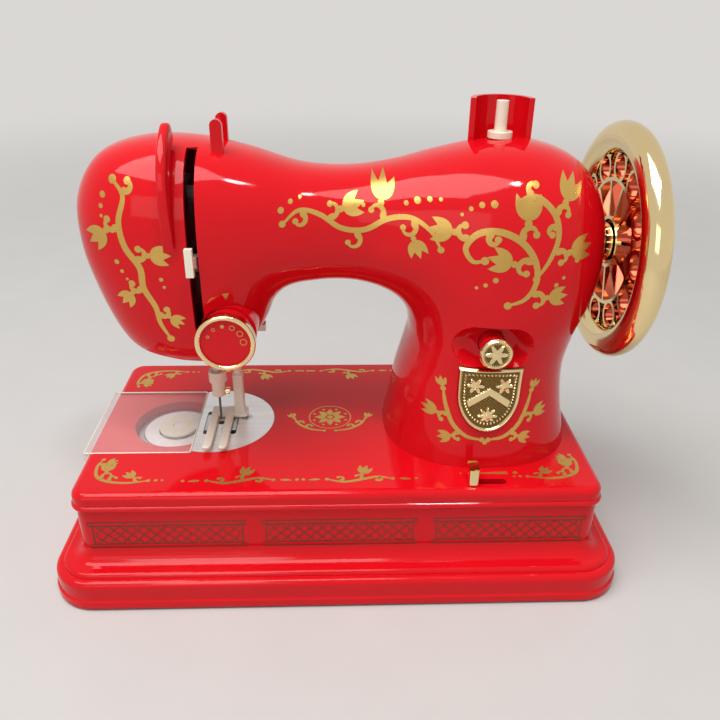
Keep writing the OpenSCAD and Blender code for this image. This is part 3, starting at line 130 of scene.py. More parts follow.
class TrimSizes(PropertyGroup):
    """Sizes of dial, button, badge and wheel."""
    button_x: length("Button along", "Where the button's middle lies along the arm", 68.64)
    badge_x: length("Badge along", "Where the badge's middle lies along the arm", 68.9)
    button_z: length("Button", "Height of the button", 119.5)
    button_r: length("Medallion", "Radius of the button's medallion", 7.4)
    stem_r: length("Stem", "Radius of the button's stem", 5.8)
    pill_l: length("Dish length", "Length of the dish round the button", 36)
    pill_h: length("Dish height", "Height of the dish round the button", 21)
    dial_x: length("Dial", "Middle of the tension dial", -49.5)
    dial_z: length("Dial height", "Height of the tension dial", 123.51)
    dial_r: length("Dial ring", "Radius of the dial's gold ring", 13.2)
    drum_r: length("Dial face", "Radius of the dial's red face", 11.6)
    badge_top: length("Badge top", "Height of the badge's top edge", 109.5)
    badge_w: length("Badge width", "Width of the badge", 28.8)
    badge_h: length("Badge height", "Height of the badge", 33.6)
    badge_t: length("Badge thickness", "How far the badge's field stands off the casing", 1.2)
    shaft_z: length("Wheel", "Height of the wheel's axis", 155.05)


class PrintSizes(PropertyGroup):
    """Sizes of the gold print."""
    lift: length("Lift", "How far the ink lies above the plastic", 0.07)
    stem_w: length("Stem", "Width of a printed stem", 1.9)
    band_low: length("Band foot", "Lower edge of the crossed bands", 25.4)
    band_high: length("Band top", "Upper edge of the crossed bands", 40.4)
    line_w: length("Band line", "Width of a line of the crossed bands", 0.75)


class FinishTints(PropertyGroup):
    """Colours of the finishes."""
    red: tint("Red", "Glossy red plastic", (0.70, 0.004, 0.010))
    dark_red: tint("Dark red", "Red plastic of the underside", (0.42, 0.004, 0.010))
    gold: tint("Gold", "Pale gold plating", (0.90, 0.71, 0.38))
    ivory: tint("Ivory", "Ivory plastic", (0.92, 0.86, 0.70))
    white: tint("White", "White plastic", (0.90, 0.89, 0.87))
    ink: tint("Gold ink", "Printed gold", (0.72, 0.44, 0.11))
    band: tint("Band ink", "Dark bronze print of the crossed bands", (0.23, 0.050, 0.026))
    room: tint("Room", "Pale tone of the room behind the floor", (0.70, 0.68, 0.66))
    floor: tint("Floor", "Stage floor near the machine", (0.60, 0.588, 0.57))


class StageSizes(PropertyGroup):
    """Camera and lights."""
    lens: FloatProperty(name="Lens", description="Focal length on a 36 mm sensor", default=35.8, min=1)
    yaw: degrees("Yaw", "Turn to the right", 2.45)
    pitch: degrees("Pitch", "Look down", 27.76)
    roll: degrees("Roll", "Lean of the camera", 0.84)
    place: FloatVectorProperty(name="Camera", description="Where the camera stands", size=3,
                               subtype="TRANSLATION", default=(-2.9 * MM, -324 * MM, 262.4 * MM))
    key: watts("Key", "Power of the large soft lamp", 30.0)
    fill: watts("Fill", "Power of the soft lamp at the front", 1.3)
    spot: watts("Ceiling lamp", "Power of the small round lamp", 2.2)
    sky: FloatProperty(name="Room light", description="Strength of the room's light", default=0.30, min=0)


# Meshes

def turns(steps):
    """Angles of one full turn, without the last that closes it."""
    return np.linspace(0, 2 * np.pi, steps, endpoint=False)


def squared(turn, *powers):
    """Cosine and sine of an angle, each raised to a power with its sign kept: a circle drawn to a square."""
    return [np.sign(v) * np.abs(v) ** p for v, p in zip((np.cos(turn), np.sin(turn)), powers)]


def grid_faces(rows, cols, close_rows=False, close_cols=False):
    """Quads of a rows x cols grid, counted row by row; closed directions join the last to the first."""
    i = np.arange(rows if close_rows else rows - 1)
    j = np.arange(cols if close_cols else cols - 1)
    i, j = np.meshgrid(i, j, indexing="ij")
    k, m = (i + 1) % rows, (j + 1) % cols
    return np.stack([i * cols + j, i * cols + m, k * cols + m, k * cols + j], -1).reshape(-1, 4)


def capped(rings):
    """Rings of points carried along a run, with both ends closed to their middle."""
    ends = [np.repeat(rings[k].mean(0)[None, None], rings.shape[1], 1) for k in (0, -1)]
    rings = np.concatenate([ends[0], rings, ends[1]])
    return rings, grid_faces(len(rings), rings.shape[1], close_cols=True)


def joined(parts):
    """Several grids as one list of points and quads."""
    points = [np.asarray(p, float).reshape(-1, 3) for p, _ in parts]
    first = np.cumsum([0] + [len(p) for p in points])
    return np.concatenate(points), np.concatenate([np.asarray(f) + n for (_, f), n in zip(parts, first)])


def put_mesh(name, points, faces, sharp, merge=True, height=None):
    """New object from an array of points in metres and an array of quads; doubled points are merged.
    A relief's height (0 to 1 for each point) is kept as an attribute."""
    double, needless = 2e-6, 1e-7
    mesh = bpy.data.meshes.new(name)
    mesh.from_pydata(np.asarray(points, float).reshape(-1, 3).tolist(), [], np.asarray(faces).tolist())
    if height is not None:
        layer = mesh.attributes.new("height", "FLOAT", "POINT")
        layer.data.foreach_set("value", np.asarray(height, np.float32).ravel())
    if merge:
        bm = bmesh.new()
        bm.from_mesh(mesh)
        bmesh.ops.remove_doubles(bm, verts=bm.verts, dist=double)
        bmesh.ops.dissolve_degenerate(bm, edges=bm.edges, dist=needless)
        bm.to_mesh(mesh)
        bm.free()
    mesh.shade_smooth()
    mesh.set_sharp_from_angle(angle=math.radians(sharp))
    obj = bpy.data.objects.new(name, mesh)
    bpy.context.scene.collection.objects.link(obj)
    return obj


def outward(obj):
    """Turn the faces of a closed piece outwards."""
    bm = bmesh.new()
    bm.from_mesh(obj.data)
    bmesh.ops.recalc_face_normals(bm, faces=bm.faces)
    bm.to_mesh(obj.data)
    bm.free()
    return obj


def face_way(obj, way):
    """Turn every face of an open piece the way its surface looks."""
    bm = bmesh.new()
    bm.from_mesh(obj.data)
    bm.normal_update()
    bmesh.ops.reverse_faces(bm, faces=[f for f in bm.faces if f.normal.dot(way) < 0])
    bm.to_mesh(obj.data)
    bm.free()
    return obj


def fit(obj, body, slot, finish, *nodes):
    """Give a piece its finish and let it ride on a body; it stands for the named nodes."""
    obj.data.materials.clear()
    obj.data.materials.append(bpy.data.materials[finish])
    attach(obj, body)
    if nodes:
        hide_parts(*nodes)
    return obj


def closed_piece(name, grid, sharp=35, height=None):
    """New closed object from a grid's points and quads, with its faces turned outwards."""
    return outward(put_mesh(name, *grid, sharp, height=height))


def revolve(profile, centre, axis, steps=128):
    """Surface of revolution: each (along, radius) of a profile turns round an axis through the centre."""
    along, r = np.asarray(profile, float).T
    turn = turns(steps)
    u, v, w = np.repeat(along[:, None], steps, 1), np.outer(r, np.cos(turn)), np.outer(r, np.sin(turn))
    order = {"x": (u, v, w), "y": (v, u, w), "z": (v, w, u)}[axis]
    return np.stack(order, -1) + np.asarray(centre, float), grid_faces(len(along), steps, close_cols=True)


def arc(cx, cy, r, a0, a1, steps):
    """Points on a circle from angle a0 to a1 in degrees."""
    a = np.radians(np.linspace(a0, a1, steps))
    return np.stack([cx + r * np.cos(a), cy + r * np.sin(a)], -1)


def smooth_run(rows, t):
    """Catmull-Rom curve through rows of values at run t, carried on straight at both ends."""
    p = np.concatenate([2 * rows[:1] - rows[1:2], rows, 2 * rows[-1:] - rows[-2:-1]])
    t = np.clip(t, 0, len(rows) - 1 - 1e-9)
    i = t.astype(int)
    f = (t - i)[..., None]
    a, b, c, d = p[i], p[i + 1], p[i + 2], p[i + 3]
    bend = (2 * a - 5 * b + 4 * c - d) * f ** 2 + (3 * b - a - 3 * c + d) * f ** 3
    return 0.5 * (2 * b + (c - a) * f + bend)


def tube(path, r, steps=10):
    """Circle of radius r carried along a path on the path's own tangent frame, with both ends closed."""
    path = np.asarray(path, float)
    aside = np.array([0.31, 0.17, 0.94])  # a way that no path follows
    tangent = np.gradient(path, axis=0)
    tangent /= np.linalg.norm(tangent, axis=1)[:, None]
    side = np.cross(tangent, aside)
    side /= np.linalg.norm(side, axis=1)[:, None]
    rise = np.cross(tangent, side)
    a = turns(steps)[:, None]
    return capped(path[:, None] + r * (side[:, None] * np.cos(a) + rise[:, None] * np.sin(a)))


# Casing

def casing_section(t):
    """Middle, half chord and half depth of the casing's section at run t."""
    size = bpy.context.scene.casing_sizes
    s = smooth_run(CASING_STATIONS, t)
    outer = np.stack([size.left + s[..., 0] * size.run, size.deck + s[..., 1] * size.rise], -1)
    inner = np.stack([size.left + s[..., 2] * size.run, size.deck + s[..., 3] * size.rise], -1)
    return (outer + inner) / 2, (outer - inner) / 2, s[..., 4] * size.depth / 2


def casing_skin(t, turn, out):
    """Point of the casing: middle + half chord * sgn(cos)|cos|^(2/n) in X and Z,
    half depth * sgn(sin)|sin|^(2/n) in Y, with chord and depth grown by out."""
    size = bpy.context.scene.casing_sizes
    middle, half, deep = casing_section(t)
    half = half + out * half / np.linalg.norm(half, axis=-1, keepdims=True)
    c, s = squared(turn, 2 / size.power, 2 / size.power)
    flat = middle[:, None] + half[:, None] * c[None, :, None]
    return np.stack([flat[..., 0], (deep + out)[:, None] * s[None], flat[..., 1]], -1)


def half_casing(front):
    """Closed half shell: outer and inner skin over half a turn, joined at the parting plane and both ends."""
    size = bpy.context.scene.casing_sizes
    t = np.linspace(0, len(CASING_STATIONS) - 1, size.rows)
    # columns gather at the section's ends, where the skin bends most
    gather = 0.22
    u = np.linspace(0, np.pi, size.cols)
    turn = u - gather * np.sin(2 * u) + (np.pi if front else 0)
    outer = casing_skin(t, turn, 0.0)
    inner = casing_skin(t, turn, -size.wall)
    ring = np.concatenate([outer, inner[:, ::-1]], 1)
    cols = ring.shape[1]
    faces = grid_faces(size.rows, cols, close_cols=True)
    j = np.arange(size.cols - 1)
    cap = np.stack([j, j + 1, cols - 2 - j, cols - 1 - j], -1)
    return ring, np.concatenate([faces, cap[:, ::-1], cap + (size.rows - 1) * cols])


def on_front(flat, lift=0.0):
    """Points (x, z) carried along Y to the casing's front. A point lies on the section whose chord line
    passes through it: the crossing of run t where (point - middle) x chord changes sign; its depth is
    half depth * (1 - |share|^n)^(1/n). The lift goes along the skin's normal."""
    size = bpy.context.scene.casing_sizes
    samples, batch = 620, 3000
    flat = np.asarray(flat, float).reshape(-1, 2)
    t = np.linspace(0, len(CASING_STATIONS) - 1, samples)
    middle, half, deep = casing_section(t)
    square = (half ** 2).sum(-1)

    def depth_at(points):
        y = np.zeros(len(points))
        for low in range(0, len(points), batch):
            p = points[low:low + batch]
            d = p[:, None] - middle[None]
            cross = d[..., 0] * half[:, 1] - d[..., 1] * half[:, 0]
            share = (d * half).sum(-1) / square
            hit = (np.sign(cross[:, :-1]) != np.sign(cross[:, 1:])) & (np.abs(share[:, :-1]) < 1.0)
            found = hit.any(1)
            k = np.where(found, hit.argmax(1), 0)
            n = np.arange(len(p))
            a, b = cross[n, k], cross[n, k + 1]
            f = np.where(found, a / np.where(a == b, 1, a - b), 0)
            c = np.abs(share[n, k] * (1 - f) + share[n, k + 1] * f).clip(0, 1)
            w = deep[k] * (1 - f) + deep[k + 1] * f
            y[low:low + batch] = np.where(found, -w * (1 - c ** size.power) ** (1 / size.power), 0)
        return y

    y = depth_at(flat)
    e = 0.25 * MM
    slope_x = (depth_at(flat + [e, 0]) - depth_at(flat - [e, 0])) / (2 * e)
    slope_z = (depth_at(flat + [0, e]) - depth_at(flat - [0, e])) / (2 * e)
    normal = np.stack([slope_x, -np.ones_like(y), slope_z], -1)
    normal /= np.linalg.norm(normal, axis=1)[:, None]
    return np.stack([flat[:, 0], y, flat[:, 1]], -1) + normal * lift


def block_points(low, high):
    """Corners of a box and its six outward quads."""
    x, y, z = np.meshgrid(*zip(low, high), indexing="ij")
    quads = [[0, 1, 3, 2], [4, 6, 7, 5], [0, 4, 5, 1], [2, 3, 7, 6], [0, 2, 6, 4], [1, 5, 7, 3]]
    return np.stack([x, y, z], -1).reshape(-1, 3), np.array(quads)


def prism_y(outline, y0, y1):
    """Outline of (x, z) points carried along Y, with both ends closed to their middle."""
    x, z = np.asarray(outline, float).T
    return capped(np.stack([np.stack([x, np.full(len(x), y), z], -1) for y in (y0, y1)]))


def pill_outline(cx, cz, long, high, steps=96):
    """Outline of a pill: two half circles joined by straight sides."""
    r, reach = high / 2, (long - high) / 2
    a = turns(steps)
    return np.stack([cx + np.sign(np.cos(a)) * reach + r * np.cos(a), cz + r * np.sin(a)], -1)


def cut(obj, form, keep=False):
    """Cut one closed form out of a piece, or keep only what lies inside it."""
    tool = closed_piece("cut_form", form)
    mod = obj.modifiers.new("cut", "BOOLEAN")
    mod.operation = "INTERSECT" if keep else "DIFFERENCE"
    mod.solver = "EXACT"
    mod.object = tool
    graph = bpy.context.evaluated_depsgraph_get()
    mesh = bpy.data.meshes.new_from_object(obj.evaluated_get(graph))
    obj.modifiers.clear()
    old = obj.data
    obj.data = mesh
    bpy.data.meshes.remove(old)
    data = tool.data
    bpy.data.objects.remove(tool)
    bpy.data.meshes.remove(data)
    if not len(mesh.polygons):
        raise RuntimeError("nothing left of " + obj.name)


def finish_casing(obj, node, sharp=38):
    """Smooth the cut shell and let it stand for its node."""
    obj.data.name = obj.name
    obj.data.shade_smooth()
    obj.data.set_sharp_from_angle(angle=math.radians(sharp))
    fit(obj, "machine", "red_plastic", "glossy_red", node)


def hole_y(x, z, r, y0, y1, steps=48):
    """Round form along Y that cuts a hole."""
    return prism_y(arc(x, z, r, 0, 360, steps + 1)[:-1], y0, y1)


class MACHINE_OT_casing(Operator):
    """Front shell, face cover, rear shell and head floor, cut for all that passes through them"""
    bl_idname = "machine.casing"
    bl_label = "Casing"

    def execute(self, context):
        size, trim = context.scene.casing_sizes, context.scene.trim_sizes
        slot_back, seat_back, dial_hole_r = -12 * MM, -20 * MM, 12.75 * MM
        shaft_from, shaft_r = 90 * MM, 9 * MM
        notch_left, notch_side, notch_over = -46 * MM, 6 * MM, 3 * MM
        slot = block_points((size.seam_x - size.slot_w / 2, -FAR, size.deck),
                            (size.seam_x + size.slot_w / 2, slot_back, size.slot_top))
        left = block_points((-FAR, -FAR, 0), (size.seam_x, FAR, FAR))
        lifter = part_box("presser_lifter")
        notch = block_points((notch_left, -FAR, size.deck),
                             (lifter[1][0] + notch_side, FAR, lifter[1][2] + notch_over))
        bore = [(shaft_from, 0), (shaft_from, shaft_r), (FAR, shaft_r), (FAR, 0)]
        shaft_hole = revolve(bore, (0, 0, trim.shaft_z), "x", 64)

        front = half_casing(True)
        shell = closed_piece("front_casing", front)
        cover = closed_piece("head_cover", front)
        cut(cover, left, keep=True)
        cut(cover, slot)
        pill = pill_outline(trim.button_x, trim.button_z, trim.pill_l, trim.pill_h)
        for form in (left, slot, hole_y(trim.dial_x, trim.dial_z, dial_hole_r, -FAR, seat_back, 96),
                     prism_y(pill, -FAR, seat_back), shaft_hole, notch):
            cut(shell, form)
        finish_casing(shell, "front_shell")
        finish_casing(cover, "face_cover")

        rear = closed_piece("rear_casing", half_casing(False))
        # screws: depth of the cup's floor, radius of hole, head, screw and cup
        seat, hole_r, head_r, screw_r, cup_r = 9, 3.15, 3.16, 1.4, 4.4
        for form in (shaft_hole, notch):
            cut(rear, form)
        for x, z in REAR_SCREWS:
            cut(rear, hole_y(x * MM, z * MM, hole_r * MM, seat * MM, FAR))
        finish_casing(rear, "rear_shell")

        # floor of the head, inside the casing's first rows, with holes for the two bars
        floor_run, overlap, below, above = np.array([0.06, 0.36]), 0.4 * MM, 90, 130
        rings = casing_skin(floor_run, turns(96), overlap - size.wall)
        floor = closed_piece("head_floor", capped(rings))
        for (x, y), r in ((NEEDLE_BAR, 3.2), (PRESSER_BAR, 2.9)):
            bore = np.array([(below, 0), (below, r), (above, r), (above, 0)]) * MM
            cut(floor, revolve(bore, (x * MM, y * MM, 0), "z", 48))
        cut(floor, notch)
        fit(floor, "machine", "dark_red_plastic", "underside_red")

        # cups round the sunk screws, a little below the skin
        cups, sunk, base = [], 0.8, seat - 1
        for x, z in REAR_SCREWS:
            rim = -on_front([(x * MM, z * MM)])[0, 1] / MM - sunk
            cup = np.array([(seat, screw_r), (seat, head_r), (rim, head_r), (rim, cup_r), (base, cup_r),
                            (base, screw_r), (seat, screw_r)])
            cups.append(revolve(cup * MM, (x * MM, 0, z * MM), "y", 48))
        fit(closed_piece("screw_cups", joined(cups)), "machine", "red_plastic", "glossy_red")
        return {"FINISHED"}


# Finishes

def node_maker(tree):
    """Maker of linked nodes: values go to sockets or settings of their name, links are (socket, source)."""
    def node(kind, links=(), **values):
        made = tree.nodes.new(kind)
        for key, value in values.items():
            socket = key.replace("_", " ")
            if socket in made.inputs:
                made.inputs[socket].default_value = value
            else:
                setattr(made, key, value)
        for key, source in links:
            tree.links.new(source, made.inputs[key])
        return made

    return node


def new_finish(name):
    """New node material with its tree, its shader and its object coordinates."""
    mat = bpy.data.materials.new(name)
    mat.use_nodes = True
    tree = mat.node_tree
    return mat, tree, tree.nodes["Principled BSDF"], tree.nodes.new("ShaderNodeTexCoord").outputs["Object"]


def set_shader(shader, **values):
    """Constant values go on the shader's own sockets."""
    for key, value in values.items():
        shader.inputs[key.replace("_", " ")].default_value = value


def dress(tree, tone, colour, dark, haze, span, rough, skin, **bump):
    """Link three noises to the shader: tone between the dark and the full colour, haze of a span between two
    roughnesses, skin as a bump."""
    shader, node = tree.nodes["Principled BSDF"], node_maker(tree)
    ramp = node("ShaderNodeValToRGB", [("Fac", tone)])
    for stop, position, shade in zip(ramp.color_ramp.elements, (0.3, 0.7), (dark, 1.0)):
        stop.position = position
        stop.color = tuple(v * shade for v in colour) + (1,)
    gloss = node("ShaderNodeMapRange", [("Value", haze)], From_Min=span[0], From_Max=span[1], To_Min=rough[0],
                 To_Max=rough[1])
    lump = node("ShaderNodeBump", [("Height", skin)], **bump)
    for source, socket in ((ramp.outputs["Color"], "Base Color"), (gloss.outputs["Result"], "Roughness"),
                           (lump.outputs["Normal"], "Normal")):
        tree.links.new(source, shader.inputs[socket])


def moulded(name, colour, rough, shift, grain=900.0, bump=0.02, ior=1.46, shine=0.5, metal=0.0):
    """Moulded or plated surface: slow drift of the colour where the melt flowed, uneven gloss, fine grain."""
    mat, tree, shader, at = new_finish(name)
    node = node_maker(tree)
    drift = node("ShaderNodeTexNoise", [("Vector", at)], Scale=22.0, Detail=3.0, Roughness=0.5)
    haze = node("ShaderNodeTexNoise", [("Vector", at)], Scale=140.0, Detail=4.0, Roughness=0.65)
    skin = node("ShaderNodeTexNoise", [("Vector", at)], Scale=grain, Detail=2.0)
    dress(tree, drift.outputs["Fac"], colour, 1 - shift, haze.outputs["Fac"], (0.3, 0.75), rough,
          skin.outputs["Fac"], Strength=bump, Distance=0.0004)
    set_shader(shader, Metallic=metal, IOR=ior, Specular_IOR_Level=shine)
    return mat


def brushed(name, colour, rough=(0.22, 0.4), metal=1.0, stretch=(12, 500, 500)):
    """Brushed metal: streaks of noise drawn out along one way in colour, gloss and height."""
    mat, tree, shader, at = new_finish(name)
    node = node_maker(tree)
    way = node("ShaderNodeMapping", [("Vector", at)], Scale=stretch)
    noise = node("ShaderNodeTexNoise", [("Vector", way.outputs["Vector"])], Scale=1.0, Detail=5.0,
                 Roughness=0.6)
    streak = noise.outputs["Fac"]
    dress(tree, streak, colour, 0.8, streak, (0.0, 1.0), rough, streak, Strength=0.08, Distance=0.0002)
    set_shader(shader, Metallic=metal)
    return mat


def clear_sheet(name, colour, veil, rough=0.04):
    """Clear or milky moulded plastic: a veil of the colour over what lies behind, with haze in the gloss."""
    mat = moulded(name, colour, (rough, rough + 0.06), 0.04, 500)
    set_shader(mat.node_tree.nodes["Principled BSDF"], Alpha=veil)
    return mat


def plated(name, colour, rough):
    """Gold plating over a moulded form."""
    return moulded(name, colour, rough, 0.08, bump=0.012, metal=1.0)


def second_colour(mat, colour, share, low):
    """Mix a second colour into a finish: it stands where the share is 0 (low) or where it is 1."""
    tree = mat.node_tree
    base = tree.nodes["Principled BSDF"].inputs["Base Color"]
    new, old = (6, 7) if low else (7, 6)
    mix = node_maker(tree)("ShaderNodeMix", data_type="RGBA")
    mix.inputs[new].default_value = tuple(colour) + (1,)
    tree.links.new(share, mix.inputs[0])
    tree.links.new(base.links[0].from_socket, mix.inputs[old])
    tree.links.new(mix.outputs[2], base)
    return mat


def hollow_shade_painted(name, colour, deep):
    """Gold plating, darkened by painted shade in the hollows of a relief: the height takes the deep colour,
    which is the painted shade, to the plating's.
    """
    mat = plated(name, colour, (0.07, 0.15))
    node = node_maker(mat.node_tree)
    # low height, in the hollows, gets the painted shade
    height = node("ShaderNodeAttribute", attribute_name="height")
    share = node("ShaderNodeMapRange", [("Value", height.outputs["Fac"])], interpolation_type="SMOOTHSTEP",
                 From_Min=0.05, From_Max=0.55)
    return second_colour(mat, deep, share.outputs["Result"], low=True)


def wheel_gold_with_painted_reflection(name, colour, web, axis_z):
    """Gold plating with a painted reflection of the red casing on the web: red where the distance from the
    axis lies between hub and rim, on the side of the web that looks at the casing."""
    rim_r, hub_r, web_x = 40.9 * MM, 9.1 * MM, 131.7 * MM
    mat = plated(name, colour, (0.05, 0.13))
    node = node_maker(mat.node_tree)
    at = node("ShaderNodeTexCoord").outputs["Object"]
    about = node("ShaderNodeMapping", [("Vector", at)], Location=(0, 0, -axis_z), Scale=(0, 1, 1))
    off = node("ShaderNodeVectorMath", [(0, about.outputs["Vector"])], operation="LENGTH").outputs["Value"]
    along = node("ShaderNodeSeparateXYZ", [("Vector", at)]).outputs["X"]
    # mask of the painted red reflection: between hub and rim, on the casing's side of the web
    limits = ((off, "LESS_THAN", rim_r), (off, "GREATER_THAN", hub_r), (along, "LESS_THAN", web_x))
    share = None
    for source, kind, limit in limits:
        test = node("ShaderNodeMath", [(0, source)], operation=kind)
        test.inputs[1].default_value = limit
        if share is not None:
            test = node("ShaderNodeMath", [(0, share), (1, test.outputs["Value"])], operation="MULTIPLY")
        share = test.outputs["Value"]
    return second_colour(mat, web, share, low=False)


class MACHINE_OT_finishes(Operator):
    """All finishes, and the ones of the pieces that keep their moulded or machined form"""
    bl_idname = "machine.finishes"
    bl_label = "Finishes"

    def execute(self, context):
        tints = context.scene.finish_tints
        finish = {
            "red_plastic": moulded("glossy_red", tints.red, (0.05, 0.10), 0.06, bump=0.012, ior=1.45,
                                   shine=0.28),
            "dark_red_plastic": moulded("underside_red", tints.dark_red, (0.22, 0.34), 0.15, bump=0.08),
            "gold_plating": plated("pale_gold_plating", tints.gold, (0.05, 0.13)),
            "ivory_plastic": moulded("warm_ivory", tints.ivory, (0.2, 0.34), 0.08, bump=0.04),
            "white_plastic": moulded("plain_white", tints.white, (0.2, 0.32), 0.06, bump=0.04),
            "clear_plastic": clear_sheet("clear_cover_sheet", (0.88, 0.80, 0.79), 0.14),
            "grey_plate": brushed("plate_grey", (0.93, 0.92, 0.915), (0.26, 0.38), 0.8, (25, 600, 600)),
            "steel": brushed("turned_steel", (0.62, 0.62, 0.63)),
            "dark_plastic": moulded("inner_black", (0.02, 0.018, 0.018), (0.35, 0.5), 0.3, bump=0.1),
            "black_rubber": moulded("foot_rubber", (0.018, 0.017, 0.017), (0.6, 0.8), 0.35, 600, 0.3),
            "bronze": brushed("sintered_bronze", (0.6, 0.36, 0.16), (0.35, 0.55)),
            "green_board": moulded("board_green", (0.01, 0.11, 0.035), (0.3, 0.45), 0.3, 500, 0.15),
        }
        own = {"presser_foot": clear_sheet("milky_plastic", (0.96, 0.91, 0.76), 0.9, 0.12),
               "needle": brushed("needle_steel", (0.16, 0.155, 0.15), (0.2, 0.3)),
               # painted reflection: the deep red on the wheel's web stands for the red casing mirrored in the
               # gold
               "handwheel": wheel_gold_with_painted_reflection("wheel_gold_with_painted_reflection", tints.gold, (0.42, 0.012, 0.012),
                                          context.scene.trim_sizes.shaft_z)}
        # painted shade: the dark colour stands for shade in the hollows of the badge's and the medallion's
        # relief
        hollow_shade_painted("hollow_shade_painted_gold", tints.gold, (0.17, 0.105, 0.03))
        moulded("gold_ink", tints.ink, (0.22, 0.36), 0.22, 700, 0.06, metal=0.75)
        moulded("band_ink", tints.band, (0.25, 0.4), 0.3, 700, 0.06, metal=0.35)
        for name, slot in NODE_SLOT.items():
            node = frame["nodes"][name]
            node.data.materials.clear()
            node.data.materials.append(own.get(name, finish[slot]))
        return {"FINISHED"}


# Stage

def area_lamp(context, name, kind, power, at, size):
    """Soft lamp that looks at the machine."""
    aim = Vector((0, 0, 0.1))
    data = bpy.data.lights.new(name, "AREA")
    data.shape, data.energy, data.size = kind, power, size[0]
    if kind == "RECTANGLE":
        data.size_y = size[1]
    obj = bpy.data.objects.new(name, data)
    context.scene.collection.objects.link(obj)
    obj.location = at
    obj.rotation_euler = (aim - Vector(at)).to_track_quat("-Z", "Y").to_euler()


class MACHINE_OT_stage(Operator):
    """Pale floor that fades into the room, soft lamps and the camera"""
    bl_idname = "machine.stage"
    bl_label = "Stage"

    def execute(self, context):
        stage, tints = context.scene.stage_sizes, context.scene.finish_tints
        room = tuple(tints.room) + (1,)
        disc = [(0, r) for r in (0.0, 0.3, 0.6, 1.0, 1.6, 2.6, 4.0, 6.0)]
        floor = face_way(put_mesh("floor", *revolve(disc, (0, 0, 0), "z", 64), 60), (0, 0, 1))
        mat = moulded("pale_floor", tints.floor, (0.5, 0.62), 0.03, 300, 0.05)
        # from the first radius to the second the floor fades into the room's own tone
        fade_from, fade_to = 0.35, 1.5
        tree = mat.node_tree
        node = node_maker(tree)
        at = node("ShaderNodeTexCoord").outputs["Object"]
        far = node("ShaderNodeVectorMath", [(0, at)], operation="LENGTH").outputs["Value"]
        fade = node("ShaderNodeMapRange", [("Value", far)], interpolation_type="SMOOTHSTEP",
                    From_Min=fade_from, From_Max=fade_to)
        glow = node("ShaderNodeEmission", Color=room)
        mix = node("ShaderNodeMixShader", [("Fac", fade.outputs["Result"]), (2, glow.outputs["Emission"]),
                                           (1, tree.nodes["Principled BSDF"].outputs["BSDF"])])
        tree.links.new(mix.outputs["Shader"], tree.nodes["Material Output"].inputs["Surface"])
        floor.data.materials.append(mat)

        area_lamp(context, "soft_key", "RECTANGLE", stage.key, (-0.48, -0.40, 1.75), (1.5, 1.05))
        area_lamp(context, "front_fill", "RECTANGLE", stage.fill, (-0.45, -1.1, 0.55), (0.7, 0.5))
        area_lamp(context, "ceiling_lamp", "DISK", stage.spot, (0.22, -0.40, 1.15), (0.13,))

        # the room lights softly, and shows its own tone to the camera, in mirrors and through clear plastic
        world = bpy.data.worlds.new("room_light")
        world.use_nodes = True
        tree = world.node_tree
        node = node_maker(tree)
        soft = tree.nodes["Background"]
        soft.inputs["Color"].default_value = (0.97, 0.96, 0.94, 1)
        soft.inputs["Strength"].default_value = stage.sky
        seen = node("ShaderNodeBackground", Color=room)
        path = node("ShaderNodeLightPath").outputs
        share = path["Is Camera Ray"]
        for ray in ("Is Glossy Ray", "Is Transmission Ray"):
            share = node("ShaderNodeMath", [(0, share), (1, path[ray])], operation="MAXIMUM").outputs["Value"]
        mix = node("ShaderNodeMixShader", [("Fac", share), (1, soft.outputs["Background"]),
                                           (2, seen.outputs["Background"])])
        tree.links.new(mix.outputs["Shader"], tree.nodes["World Output"].inputs["Surface"])
        context.scene.world = world

        data = bpy.data.cameras.new("camera")
        data.lens, data.sensor_width = stage.lens, 36.0
        data.clip_start, data.clip_end = 0.01, 20
        camera = bpy.data.objects.new("camera", data)
        context.scene.collection.objects.link(camera)
        angles = (stage.yaw, stage.pitch, stage.roll)
        (cy, sy), (cp, sp), (cr, sr) = ((math.cos(v), math.sin(v)) for v in angles)
        ahead = np.array([sy * cp, cy * cp, -sp])
        right = np.array([cy, -sy, 0.0])
        up = np.cross(right, ahead)
        right, up = right * cr + up * sr, -right * sr + up * cr
        turn = Matrix((right, up, -ahead)).transposed().to_4x4()
        turn.translation = stage.place
        camera.matrix_world = turn
        context.scene.camera = camera
        context.scene.view_settings.view_transform = "Standard"
        return {"FINISHED"}


# Gold print

def through(points, steps=90):
    """Smooth path through points."""
    return smooth_run(np.asarray(points, float), np.linspace(0, len(points) - 1, steps))


def stroke(path, width):
    """Flat ribbon: the path moved to both sides along its normal by half its width, five points across."""
    way = np.gradient(path, axis=0)
    way /= np.linalg.norm(way, axis=1)[:, None] + 1e-12
    side = np.stack([-way[:, 1], way[:, 0]], -1)
    across = np.linspace(-0.5, 0.5, 5)
    points = path[:, None] + side[:, None] * (np.asarray(width)[:, None] * across)[..., None]
    return points, grid_faces(len(path), 5)


def bent(at, heading, reach, turn, steps, ease=1.0):
    """Path of a given reach whose heading turns by turn degrees, more towards its end by the power ease."""
    s = np.linspace(0, 1, steps)
    a = np.radians(heading + turn * s ** ease)
    step = np.stack([np.cos(a), np.sin(a)], -1) * reach / (steps - 1)
    return np.asarray(at, float) + np.concatenate([[[0, 0]], np.cumsum(step[:-1], 0)])


def ring_marks(at, radii, steps):
    """Flat polar grid: circles of the given radii about a point."""
    a = turns(steps)
    rings = np.asarray(radii)[:, None, None] * np.stack([np.cos(a), np.sin(a)], -1)
    return np.asarray(at, float) + rings, grid_faces(len(radii), steps, close_cols=True)


def dot(at, r):
    """Disc from its middle to the radius r."""
    return ring_marks(at, np.array([0.0, 0.55, 1.0]) * r, 20)


def dots(*rows):
    """Discs given as (x, y, radius)."""
    return [dot((x, y), r) for x, y, r in rows]


